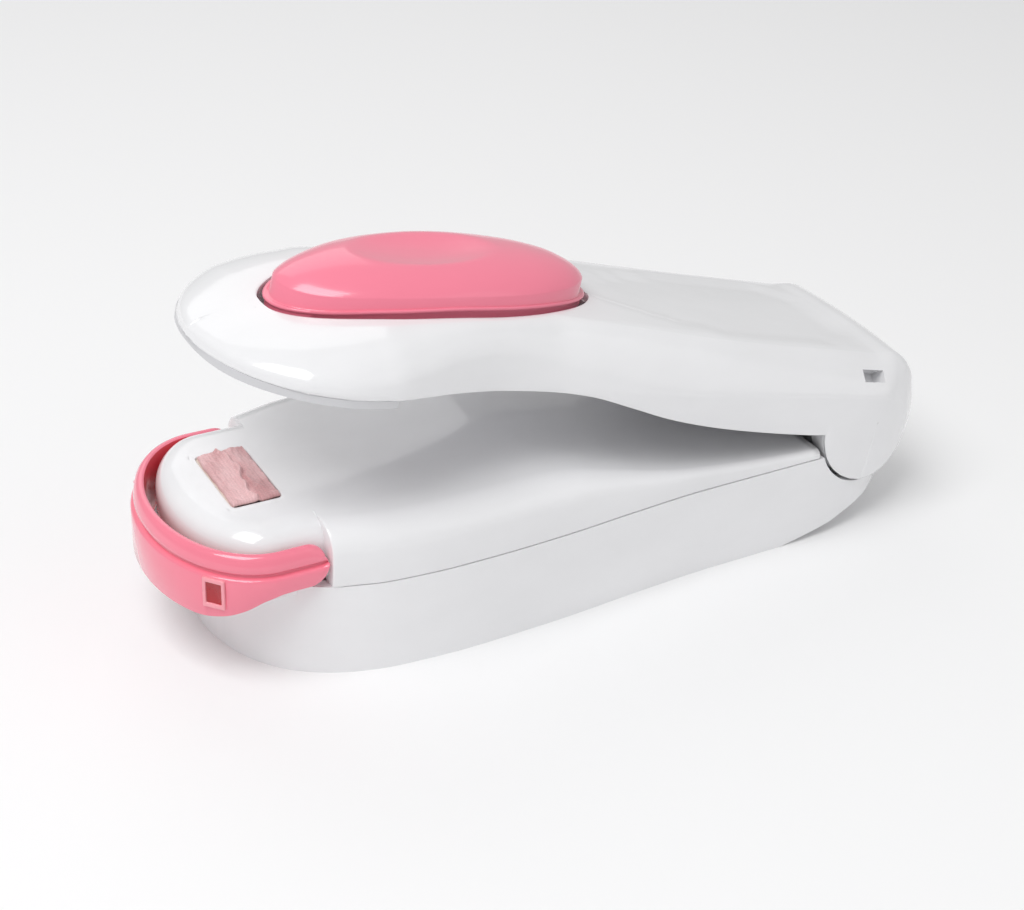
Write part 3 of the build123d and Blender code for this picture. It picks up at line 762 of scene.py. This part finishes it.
    def build(self, maker: Maker) -> None:
        """Builds the shell, its two hinge cheeks and the lanyard hole.

        Args:
            maker: makes and dresses the pieces.
        """
        rings = []
        for x in self.stations():
            rings.append(across([Vector((x, y, z)) for y, z in self.section(x)]))
        for step in range(37):
            angle = 90.0 - 5.0 * step
            c, s = math.cos(math.radians(angle)), math.sin(math.radians(angle))
            rings.append(across([Vector((self.hinge.x + r * c, y, self.hinge.z + r * s))
                                 for y, r in self.hood(angle)]))
        bm = maker.loops(rings, closed=False)
        self.open_rear(bm)
        self.rounded_end(bm)
        self.lanyard_hole(bm)
        edge = {v for e in bm.edges if e.is_boundary for v in e.verts}
        nose = [v for v in bm.verts if v.co.x < self.smooth_to and v not in edge
                and abs(v.co.y) > self.well(v.co.x) + 1.6 * (self.well(v.co.x) > 0)]
        for _ in range(self.smooth_rounds):
            bmesh.ops.smooth_vert(bm, verts=nose, factor=0.5, use_axis_x=True, use_axis_y=True,
                                  use_axis_z=True)
        maker.piece("arm_top", bm, "white_shell", "arm", "arm_top_shell", turn=self.hinge.opened(),
                    wall=self.wall, sharp=40.0)
        for side in Side:
            maker.piece(f"hinge_cheek_{side.word}", self.cheek(side), "white_shell", "arm",
                        turn=self.hinge.opened(), sharp=40.0)

    def lanyard_hole(self, bm: bmesh.types.BMesh) -> None:
        """Sinks an oblong hole into the near shoulder by the hinge.

        Args:
            bm: the shell's skin.
        """
        found = []
        for face in bm.faces:
            at = face.calc_center_median()
            if (self.hole_x[0] < at.x < self.hole_x[1] and self.hole_y[0] < at.y < self.hole_y[1]
                    and at.z > self.hinge.z + 4.5):
                found.append(face)
        bmesh.ops.inset_region(bm, faces=found, thickness=0.35, depth=0.0, use_even_offset=True)
        grown = bmesh.ops.extrude_face_region(bm, geom=found)
        moved = [v for v in grown["geom"] if isinstance(v, bmesh.types.BMVert)]
        bmesh.ops.translate(bm, verts=moved, vec=self.hole_sink)
        bmesh.ops.delete(bm, geom=found, context="FACES")

    def cheek(self, side: Side) -> bmesh.types.BMesh:
        """The solid core of one round hinge cheek inside the wall, spun about the hinge.

        Args:
            side: which cheek.

        Returns:
            The closed core.
        """
        r, low, high = self.hood_radius - 0.12, self.cheek_inner, self.cheek_core
        profile = [(0.0, low), (r - 0.5, low), (r - 0.12, low + 0.14), (r, low + 0.5), (r, high - 0.8),
                   (r - 0.1, high - 0.4), (r - 0.35, high - 0.12), (r - 0.8, high), (0.0, high)]
        bm = bmesh.new()
        start = math.radians(self.cheek_from)
        c, s = math.cos(start), math.sin(start)
        verts = [bm.verts.new((self.hinge.x + d * c, side.value * y, self.hinge.z + d * s))
                 for d, y in profile]
        for a, b in zip(verts, verts[1:]):
            bm.edges.new((a, b))
        bmesh.ops.spin(bm, geom=[*bm.verts, *bm.edges], cent=(self.hinge.x, 0, self.hinge.z), axis=(0, 1, 0),
                       angle=math.radians(self.cheek_turn), steps=48, use_duplicate=False)
        bmesh.ops.remove_doubles(bm, verts=bm.verts, dist=0.002)
        bmesh.ops.holes_fill(bm, edges=[e for e in bm.edges if e.is_boundary], sides=0)
        bmesh.ops.recalc_face_normals(bm, faces=bm.faces)
        self.rounded_end(bm)
        return bm


@dataclass
class ThumbPad:
    """The pink pad: an oval dome with a shallow dish for the thumb and a fine lip round its foot."""

    hinge: Hinge
    centre: float = -26.2
    long: float = 29.3
    wide: float = 13.4
    skirt: float = 2.4
    lip: list[Point] = field(default_factory=lambda: [
        (-57.0, 35.9), (-50.0, 37.4), (-40.0, 39.3), (-25.0, 40.6), (-10.0, 40.3), (5.5, 39.0)])
    crest: list[Point] = field(default_factory=lambda: [
        (-55.5, 36.6), (-54.7, 38.4), (-53.0, 40.1), (-49.5, 42.0), (-41.5, 44.4), (-31.0, 45.5),
        (-20.0, 45.9), (-11.7, 45.6), (-5.0, 44.7), (-0.4, 43.2), (1.8, 41.8), (3.1, 39.4)])
    dish: tuple[float, float, float, float] = (-29.6, 13.5, 7.0, 1.5)

    def build(self, maker: Maker) -> None:
        """Builds the pad from oval rings.

        Args:
            maker: makes and dresses the piece.
        """
        count = 128
        turn = [2 * math.pi * i / count for i in range(count)]

        def point(a: float, share: float, z: float | None = None) -> Vector:
            """A point of the oval at an angle and a share of its radius."""
            x = self.centre + self.long * share * math.cos(a)
            y = self.wide * share * math.sin(a)
            if z is not None:
                return Vector((x, y, z))
            edge = along(self.lip, self.centre + self.long * math.cos(a))
            crest = along(self.crest, x)
            span = math.sqrt(max(1e-6, 1 - (share * math.cos(a)) ** 2))
            rise = max(0.0, 1 - min(1.0, abs(share * math.sin(a)) / span) ** 2.3) ** 0.62
            height = edge + max(crest - edge, 0.0) * rise
            at, run, half, depth = self.dish
            far = math.sqrt(((x - at) / run) ** 2 + (y / half) ** 2)
            hollow = depth * (1 - far**2.4) ** 1.25 if far < 1 else 0.0
            return Vector((x, y, height - hollow))

        rings = []
        for share, drop in ((0.965, self.skirt), (0.985, self.skirt), (0.988, 1.2)):
            oval = [point(a, share, 0.0) for a in turn]
            rings.append([Vector((p.x, p.y, along(self.lip, p.x) - drop)) for p in oval])
        for share, drop in ((1.0, 1.05), (1.004, 0.8), (1.0, 0.55), (0.985, 0.45), (0.972, 0.5),
                            (0.966, 0.3)):
            rings.append([Vector((p.x, p.y, along(self.lip, self.centre + self.long * math.cos(a)) - drop))
                          for a, p in ((a, point(a, share, 0.0)) for a in turn)])
        crown = [round(0.86 - 0.04 * i, 2) for i in range(21)]
        for share in (0.964, 0.955, 0.94, 0.92, 0.89, *crown, 0.03):
            rings.append([point(a, share) for a in turn])
        bm = maker.loops(rings, caps=(False, True))
        maker.piece("thumb_button", bm, "pink_pad", "thumb_pad", "thumb_pad", turn=self.hinge.opened(),
                    sharp=60.0)


@dataclass
class GuardRing:
    """The pink guard: a U round the nose with a sloped rim, a groove, a band and a chin with two windows."""

    centre: float = -57.0
    inner_run: float = 13.6
    inner_half: float = 20.0
    pivot: tuple[float, float] = (-52.9, 21.6)
    end_radius: float = 3.5
    rim_top: float = 25.1
    window_angle: float = 38.0
    window_height: float = 18.25
    groove: float = 22.1
    band: float = 2.5
    frame_half: Point = (1.95, 2.75)
    frame_opening: Point = (1.3, 1.9)
    # size of the dark sheet of painted shade inside each window
    shade_pane_half: Point = (1.45, 2.1)
    boss_radius: float = 1.9
    boss_long: float = 3.2
    boss_y: float = 18.7
    chin: list[Point] = field(default_factory=lambda: [
        (-75.0, 13.0), (-70.0, 13.0), (-67.0, 13.9), (-64.5, 15.4), (-62.0, 17.2), (-59.0, 18.1),
        (-49.0, 18.1)])

    def path(self) -> list[tuple[Vector, Vector]]:
        """Points of the inner wall with their outward directions, from the near end round to the far one."""
        row = []
        run = self.end_radius - 0.02
        for i in range(15):
            x = self.pivot[0] + run - run * math.sin(math.pi / 2 * i / 14)
            row.append((Vector((x, -self.inner_half, 0)), Vector((0, -1, 0))))
        row.append((Vector((-55.0, -self.inner_half, 0)), Vector((0, -1, 0))))
        for i in range(1, 97):
            a = math.pi * i / 97
            x = self.centre - self.inner_run * math.sin(a)
            y = -self.inner_half * math.cos(a)
            out = Vector((-math.sin(a) / self.inner_run, -math.cos(a) / self.inner_half, 0)).normalized()
            row.append((Vector((x, y, 0)), out))
        return row + [(Vector((p.x, -p.y, 0)), Vector((n.x, -n.y, 0))) for p, n in reversed(row[:16])]

    def build(self, maker: Maker) -> None:
        """Builds the ring, its windows and its pivots.

        Args:
            maker: makes and dresses the pieces.
        """
        rings = []
        for at, out in self.path():
            low, high = along(self.chin, at.x - (self.band if at.x < self.centre else 0)), self.rim_top
            if at.x > self.pivot[0]:
                reach = math.sqrt(max(0.0, self.end_radius**2 - (at.x - self.pivot[0]) ** 2))
                low, high = max(low, self.pivot[1] - reach), min(high, self.pivot[1] + reach)
            groove = min(self.groove, high)
            body = groove - low
            part = min(1.0, body / 3.0)
            profile = [(0.25, low), (0.0, low + 0.3 * part), (0.0, high - 0.6 * part),
                       (0.08, high - 0.2 * part), (0.3, high - 0.03), (0.7, high),
                       (1.15, high - 0.22 * part), (1.6, high - 0.75 * part),
                       (1.9, groove + 1.0 * part), (1.98, groove + 0.45 * part), (1.9, groove + 0.12 * part),
                       (1.5, groove - 0.1 * part), (1.38, groove - 0.4 * part), (1.5, groove - 0.7 * part),
                       (2.1, groove - 0.85 * part), (self.band - 0.12, groove - 1.05 * part),
                       (self.band, groove - 1.4 * part), (self.band, low + 0.5 * body),
                       (self.band, low + 0.5 * part),
                       (self.band - 0.12, low + 0.15 * part), (self.band - 0.45, low)]
            rings.append([at + out * s + Vector((0, 0, max(min(z, high), low))) for s, z in profile])
        bm = maker.loops(rings)
        for side in Side:
            self.window(bm, side)
        ring = maker.piece("ring", bm, "pink_ring", "guard_ring", "guard_ring", sharp=38.0)
        # the inner wall takes the darker red of painted shade
        self.paint_inner_shade(ring, maker.finish)
        for side in Side:
            self.frame(maker, side)
            self.boss(maker, side)

    def paint_inner_shade(self, ring: bpy.types.Object, finish: Finish) -> None:
        """Gives the ring's inner wall a deeper red: painted shade for the wall's shadowed side towards the
        nose.

        Args:
            ring: the finished ring.
            finish: the finishes.
        """
        ring.data.materials.append(finish.made["ring_inside_painted_shade"])
        for face in ring.data.polygons:
            at = face.center / MM
            run = math.hypot((at.x - self.centre) / self.inner_run, at.y / self.inner_half)
            # inner wall faces round the tip, below the rim, get the painted shade
            if at.x < self.centre + 3 and run < 1.012 and at.z < self.rim_top - 0.35:
                face.material_index = 1

    def window_place(self, side: Side) -> Matrix:
        """Where a window stands on the chin.

        Args:
            side: which window.

        Returns:
            Its place, with the Z axis pointing out.
        """
        a = math.radians(self.window_angle)
        x = self.centre - self.inner_run * math.sin(a)
        y = self.inner_half * math.cos(a) * side.value
        out = Vector((-math.sin(a) / self.inner_run, y / self.inner_half**2, 0)).normalized()
        up = Vector((0, 0, 1))
        along_band = up.cross(out)
        centre = Vector((x, y, self.window_height)) + out * self.band
        return Matrix.Translation(centre) @ Matrix((along_band, up, out)).transposed().to_4x4()

    def window(self, bm: bmesh.types.BMesh, side: Side) -> None:
        """Sinks the window's recess into the band's outer wall.

        Args:
            bm: the ring's shape.
            side: which window.
        """
        place = self.window_place(side).inverted()
        for v in bm.verts:
            at = place @ v.co
            if abs(at.x) < 1.5 and abs(at.y) < 2.2 and abs(at.z) < 0.6:
                v.co -= self.window_place(side).to_3x3() @ Vector((0, 0, 0.5))

    def frame(self, maker: Maker, side: Side) -> None:
        """The raised frame of a window in a lighter pink of painted highlight, and the deep red pane inside
        it, a dark sheet of painted shade.

        Args:
            maker: makes and dresses the pieces.
            side: which window.
        """
        place = self.window_place(side)
        bm = bmesh.new()
        bmesh.ops.create_grid(bm, x_segments=1, y_segments=1, size=1.0)
        bmesh.ops.scale(bm, verts=bm.verts, vec=(*self.frame_half, 1))
        bmesh.ops.subdivide_edges(bm, edges=bm.edges[:], cuts=6, use_grid_fill=True)
        open_x, open_y = self.frame_opening
        middle = [f for f in bm.faces if abs(f.calc_center_median().x) < open_x
                  and abs(f.calc_center_median().y) < open_y]
        bmesh.ops.delete(bm, geom=middle, context="FACES")
        bmesh.ops.translate(bm, verts=bm.verts, vec=(0, 0, -0.5))
        grown = bmesh.ops.extrude_face_region(bm, geom=list(bm.faces))
        lifted = [v for v in grown["geom"] if isinstance(v, bmesh.types.BMVert)]
        bmesh.ops.translate(bm, verts=lifted, vec=(0, 0, 0.82))
        bmesh.ops.recalc_face_normals(bm, faces=bm.faces)
        edges = [e for e in bm.edges if e.calc_face_angle(0) > 0.8]
        bmesh.ops.bevel(bm, geom=edges, offset=0.14, affect="EDGES", segments=3, profile=0.5, material=-1)
        # the frame takes the lighter pink of painted highlight
        maker.piece(f"window_frame_{side.word}", bm, "frame_painted_highlight", "guard_ring", turn=place, sharp=60.0)
        # the pane is a dark sheet of painted shade in the window's opening
        half_x, half_y = self.shade_pane_half
        pane = bmesh.new()
        bmesh.ops.create_grid(pane, x_segments=6, y_segments=6, size=1.0)
        bmesh.ops.scale(pane, verts=pane.verts, vec=(*self.shade_pane_half, 1))
        for v in pane.verts:
            v.co.z = 0.03 - 0.28 * (1 - (v.co.x / half_x) ** 2) * (1 - (v.co.y / half_y) ** 2)
        grown = bmesh.ops.extrude_face_region(pane, geom=list(pane.faces))
        lowered = [v for v in grown["geom"] if isinstance(v, bmesh.types.BMVert)]
        bmesh.ops.translate(pane, verts=lowered, vec=(0, 0, -0.3))
        bmesh.ops.recalc_face_normals(pane, faces=pane.faces)
        maker.piece(f"window_shade_pane_{side.word}", pane, "window_painted_shade", "guard_ring", turn=place)

    def boss(self, maker: Maker, side: Side) -> None:
        """The short boss on which one end of the ring swings.

        Args:
            maker: makes and dresses the piece.
            side: which end.
        """
        bm = bmesh.new()
        bmesh.ops.create_cone(bm, cap_ends=True, segments=48, radius1=self.boss_radius,
                              radius2=self.boss_radius, depth=self.boss_long)
        rims = [e for e in bm.edges if len(e.link_faces) == 2 and e.calc_face_angle(0) > 1]
        bmesh.ops.bevel(bm, geom=rims, offset=0.25, affect="EDGES", segments=3, profile=0.5, material=-1)
        bmesh.ops.rotate(bm, verts=bm.verts, matrix=Matrix.Rotation(math.pi / 2, 3, "X"))
        bmesh.ops.translate(bm, verts=bm.verts, vec=(self.pivot[0], side.value * self.boss_y, self.pivot[1]))
        maker.piece(f"ring_boss_{side.word}", bm, "pink_ring", "guard_ring")


@dataclass
class Deck:
    """The base's upper shell: a nose with the heater window and a deck that falls away to the hinge."""

    seam: float = 17.0
    height: float = 27.5
    nose_half: float = 19.4
    nose_run: float = 11.6
    nose_centre: float = -57.0
    shoulder_x: float = -49.0
    rear_x: float = 48.4
    end_round: float = 0.35
    window: tuple[float, float, float] = (-56.05, 4.4, 8.85)
    plan: list[Point] = field(default_factory=lambda: [
        (-49.0, 22.75), (-45.0, 23.8), (-41.0, 24.85), (-35.0, 25.5), (-28.0, 25.87), (-20.0, 25.8),
        (-8.0, 25.3), (8.0, 23.95), (22.0, 23.0), (38.0, 22.8), (50.0, 22.68)])
    top: list[Point] = field(default_factory=lambda: [
        (-49.0, 27.5), (-14.0, 27.5), (-10.0, 27.38), (-4.0, 26.7), (5.0, 24.7), (13.0, 22.7), (21.0, 21.3),
        (30.0, 20.2), (40.0, 19.3), (50.0, 18.7)])
    roll: list[Point] = field(default_factory=lambda: [
        (-49.0, 5.2), (-12.0, 5.2), (5.0, 3.4), (20.0, 1.8), (50.0, 1.1)])

    def build(self, maker: Maker) -> None:
        """Builds the deck, with the nose joined to it as its own skin.

        Args:
            maker: makes and dresses the pieces.
        """
        rings = []
        xs = [self.shoulder_x + self.end_round * (1 - math.cos(math.pi / 2 * i / 4)) for i in range(5)]
        xs += [self.shoulder_x + 1.2 + 1.7 * i for i in range(57)]
        for index, x in enumerate(xs):
            if x > self.rear_x - 0.2:
                break
            shrink = self.end_round * (1 - math.sin(math.pi / 2 * min(index, 4) / 4))
            half, top = along(self.plan, x) - shrink, along(self.top, x)
            roll = min(along(self.roll, x), (top - self.seam) * 0.8)
            points = [(half - 1.0, self.seam + 0.02), (half - 0.32, self.seam + 0.02),
                      (half - 0.08, self.seam + 0.22), (half, self.seam + 0.5), (half, top - roll * 0.85)]
            for i in range(1, 13):
                a = math.pi / 2 * i / 12
                points.append((half - roll * (1 - math.cos(a)) * 1.1, top - roll * 0.85 * (1 - math.sin(a))))
            inner = points[-1][0]
            points += [(inner * (1 - i / 8), top) for i in range(1, 9)]
            rings.append(across([Vector((x, y, z)) for y, z in points]))
        bm = maker.loops(rings, closed=False)
        front = [v for v in bm.verts if abs(v.co.x - self.shoulder_x) < 1e-4]
        edges = [e for e in bm.edges if all(v in front for v in e.verts)]
        bmesh.ops.contextual_create(bm, geom=edges)
        bmesh.ops.bisect_plane(bm, geom=[*bm.verts, *bm.edges, *bm.faces], dist=0.001,
                               plane_co=(self.rear_x, 0, self.seam), plane_no=(1, 0, 0), clear_outer=True)
        maker.piece("deck", bm, "white_shell", "base", "deck_cover", wall=1.6, sharp=40.0)
        self.nose(maker)

    def nose(self, maker: Maker) -> None:
        """The nose: straight sides, a rolled edge and a flat top with the heater's window."""
        count = 160
        window_x, half_x, half_y = self.window

        def outline(inset: float) -> list[Point]:
            """The nose's outline drawn in, from the near rear corner round to the far one and back."""
            run, half = self.nose_run - inset, self.nose_half - inset
            front = []
            for i in range(count - 30):
                a = math.pi * i / (count - 31)
                front.append((self.nose_centre - run * math.sin(a), -half * math.cos(a)))
            near = [(self.shoulder_x - (self.shoulder_x - self.nose_centre) * i / 8, -half) for i in range(8)]
            far = [(x, -y) for x, y in reversed(near)]
            rear = [(self.shoulder_x, half - 2 * half * i / 15) for i in range(1, 15)]
            return near + front + far + rear

        def window(grow: float, corner: float) -> list[Point]:
            """The window's outline with as many points as the nose's, matched by direction."""
            points = []
            for x, y in outline(0.0):
                dx, dy = x - window_x, y
                w, h = half_x + grow, half_y + grow
                k = 1 / max((abs(dx / w) ** corner + abs(dy / h) ** corner) ** (1 / corner), 1e-6)
                points.append((window_x + dx * k, dy * k))
            return points

        rings = [[Vector((x, y, self.seam + 0.02)) for x, y in outline(0.9)],
                 [Vector((x, y, self.seam + 0.02)) for x, y in outline(0.3)],
                 [Vector((x, y, self.seam + 0.5)) for x, y in outline(0.0)]]
        for inward, drop in rounded(12, 4.6):
            rings.append([Vector((x, y, self.height - drop)) for x, y in outline(inward * 1.15)])
        ring = rings[-1]
        for share in (0.25, 0.5, 0.75):
            goal = window(1.0, 9.0)
            rings.append([Vector((p.x + (q[0] - p.x) * share, p.y + (q[1] - p.y) * share, self.height))
                          for p, q in zip(ring, goal)])
        for grow, z in ((1.0, 0.0), (0.35, 0.0), (0.08, -0.06), (0.0, -0.18), (0.0, -0.34)):
            rings.append([Vector((x, y, self.height + z)) for x, y in window(grow, 14.0)])
        bm = maker.loops(rings, caps=(False, False))
        maker.piece("deck_nose", bm, "white_shell", "base", sharp=38.0)


@dataclass
class SlipTape:
    """The dusty pink tape over the heating strip, with a pleat along it, tucked in at its sides and ends."""

    centre: float = -56.0
    half_wide: float = 3.85
    half_long: float = 8.15
    tuck: float = 1.1
    top: float = 28.0
    pleat: float = 0.62

    def height(self, x: float, y: float) -> float:
        """Height of the crumpled cloth above its bed.

        Args:
            x: place across the strip.
            y: place along it.

        Returns:
            The height there.
        """
        line = 0.55 * math.sin(y * 0.42 + 0.6) + 0.25 * math.sin(y * 1.3)
        crease = self.pleat * math.exp(-((x - line) / 0.36) ** 2)
        trough = -0.3 * math.exp(-((x - line - 0.75) / 0.4) ** 2)
        ripple = 0.30 * noise.noise(Vector((x * 0.5, y * 0.3, 3.1)))
        ripple += 0.22 * abs(noise.noise(Vector((x * 1.2 + 7, y * 0.6, 9.4))))
        ripple += 0.09 * noise.noise(Vector((x * 3.1, y * 2.2, 1.7)))
        return crease + trough + ripple

    def build(self, maker: Maker) -> None:
        """Builds the tape as a sheet bent over its bed, then the bed and the strip below it.

        Args:
            maker: makes and dresses the pieces.
        """
        bm = bmesh.new()
        bmesh.ops.create_grid(bm, x_segments=72, y_segments=150, size=1.0)
        wide, long = self.half_wide + self.tuck, self.half_long + self.tuck
        for v in bm.verts:
            s, t = v.co.x * wide, v.co.y * long
            over_x, over_y = max(0.0, abs(s) - self.half_wide), max(0.0, abs(t) - self.half_long)
            x = math.copysign(min(abs(s), self.half_wide) + 0.2 * math.sin(min(over_x, 0.6) / 0.6 * 1.57), s)
            y = math.copysign(min(abs(t), self.half_long) + 0.3 * math.sin(min(over_y, 0.6) / 0.6 * 1.57), t)
            drop = max(over_x, over_y) * 0.92
            wander = 0.22 * noise.noise(Vector((0.4, y * 0.5, 5.0 if s > 0 else 8.0)))
            calm = 1 - min(1.0, max(over_x, over_y) / 0.9)
            height = self.top - drop + self.height(s, t) * calm
            v.co = Vector((self.centre + x + wander * abs(s) / wide, y, height))
        bmesh.ops.solidify(bm, geom=list(bm.faces), thickness=0.12)
        bmesh.ops.recalc_face_normals(bm, faces=bm.faces)
        tape = maker.piece("slip_tape_sheet", bm, "slip_tape", "heater", "heat_tape", sharp=80.0)
        self.band(maker, "silicone_bed", "silicone_felt", "insulating_pad", self.half_wide - 0.35, 27.0, 27.5)
        self.band(maker, "strip", "strip_alloy", "heating_strip", 2.0, 27.52, 27.62)

    def band(self, maker: Maker, name: str, slot: str, node: str, half: float, low: float, high: float
             ) -> None:
        """A flat band under the tape with rounded edges.

        Args:
            maker: makes and dresses the piece.
            name: the piece's name.
            slot: its finish.
            node: the CAD node that it stands for.
            half: its half width.
            low: height of its underside.
            high: height of its top.
        """
        bm = bmesh.new()
        bmesh.ops.create_cube(bm, size=1.0)
        bmesh.ops.scale(bm, verts=bm.verts, vec=(2 * half, 2 * self.half_long - 0.6, high - low))
        bmesh.ops.translate(bm, verts=bm.verts, vec=(self.centre, 0, (low + high) / 2))
        bmesh.ops.bevel(bm, geom=list(bm.edges), offset=(high - low) * 0.3, affect="EDGES", segments=2,
                        profile=0.5, material=-1)
        maker.piece(name, bm, slot, "heater", node)


@dataclass
class Studio:
    """The pale floor, the soft lights and the camera."""

    focal: float = 70.31
    azimuth: float = -30.29
    elevation: float = 30.02
    roll: float = 2.7
    distance: float = 358.49
    shift: tuple[float, float] = (-0.0199, -0.0139)
    aim: float = 20.6

    def camera(self) -> None:
        """Sets the camera at the viewing angle."""
        a, e, r = (math.radians(v) for v in (self.azimuth, self.elevation, self.roll))
        back = Vector((math.sin(a) * math.cos(e), -math.cos(a) * math.cos(e), math.sin(e)))
        right = Vector((math.cos(a), math.sin(a), 0))
        up = back.cross(right)
        right_r = right * math.cos(r) + up * math.sin(r)
        up_r = -right * math.sin(r) + up * math.cos(r)
        data = bpy.data.cameras.new("camera")
        data.lens = self.focal
        data.sensor_width = 36.0
        data.shift_x, data.shift_y = self.shift
        data.clip_start = 0.01
        camera = bpy.data.objects.new("camera", data)
        place = Matrix((right_r, up_r, back)).transposed().to_4x4()
        place.translation = (Vector((0, 0, self.aim)) + back * self.distance) * MM
        camera.matrix_world = place
        bpy.context.scene.collection.objects.link(camera)
        bpy.context.scene.camera = camera

    def light(self, name: str, place: Vector, size: float, power: float, colour: Colour = (1, 1, 1)) -> None:
        """Adds a soft square light aimed at the object.

        Args:
            name: the light's name.
            place: where it stands, in metres.
            size: its side, in metres.
            power: its power in watts.
            colour: its colour.
        """
        data = bpy.data.lights.new(name, "AREA")
        data.size, data.energy, data.color = size, power, colour
        lamp = bpy.data.objects.new(name, data)
        lamp.location = place
        lamp.rotation_euler = (Vector((0, 0, 0.02)) - place).to_track_quat("-Z", "Y").to_euler()
        bpy.context.scene.collection.objects.link(lamp)

    def build(self) -> None:
        """Builds the floor, the lights and the surroundings."""
        bm = bmesh.new()
        bmesh.ops.create_grid(bm, x_segments=2, y_segments=2, size=3.0)
        mesh = bpy.data.meshes.new("floor")
        bm.to_mesh(mesh)
        bm.free()
        floor = bpy.data.objects.new("floor", mesh)
        g = Graph("floor_paper")
        g.shader.inputs["Base Color"].default_value = (0.93, 0.93, 0.935, 1)
        g.shader.inputs["Roughness"].default_value = 0.9
        mesh.materials.append(g.material)
        bpy.context.scene.collection.objects.link(floor)
        self.light("key", Vector((-0.35, -0.15, 0.7)), 0.45, 3.4)
        self.light("fill", Vector((0.55, -0.6, 0.45)), 0.7, 0.5)
        self.light("back", Vector((0.1, 0.7, 0.6)), 0.6, 0.8)
        world = bpy.data.worlds.new("studio")
        world.use_nodes = True
        world.node_tree.nodes["Background"].inputs["Color"].default_value = (1, 1, 1, 1)
        world.node_tree.nodes["Background"].inputs["Strength"].default_value = 0.5
        bpy.context.scene.world = world
        bpy.context.scene.view_settings.view_transform = "Standard"
        self.camera()


def dress_frame(frame: dict[str, object], finish: Finish) -> None:
    """Gives every CAD node that stays in sight the finish of its slot.

    Args:
        frame: the loaded frame.
        finish: the finishes.
    """
    slots = {part["node"]: part["material_slot"] for part in frame["record"]["subparts"]}
    for name, node in frame["nodes"].items():
        finish.dress(node, slots[name])
        LOG.info("%s keeps its CAD shape in %s", name, slots[name])


def main() -> None:
    """Builds the whole sealer in order."""
    logging.basicConfig(level=logging.INFO, format="%(name)s %(message)s")
    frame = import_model()
    finish = Finish()
    dress_frame(frame, finish)
    maker = Maker(finish)
    Studio().build()
    hinge = Hinge.of(frame)
    for assembly in (Deck(), GuardRing(), SlipTape(), ArmShell(hinge), ThumbPad(hinge)):
        LOG.info("building %s", type(assembly).__name__)
        assembly.build(maker)


if __name__ == "__main__":
    main()
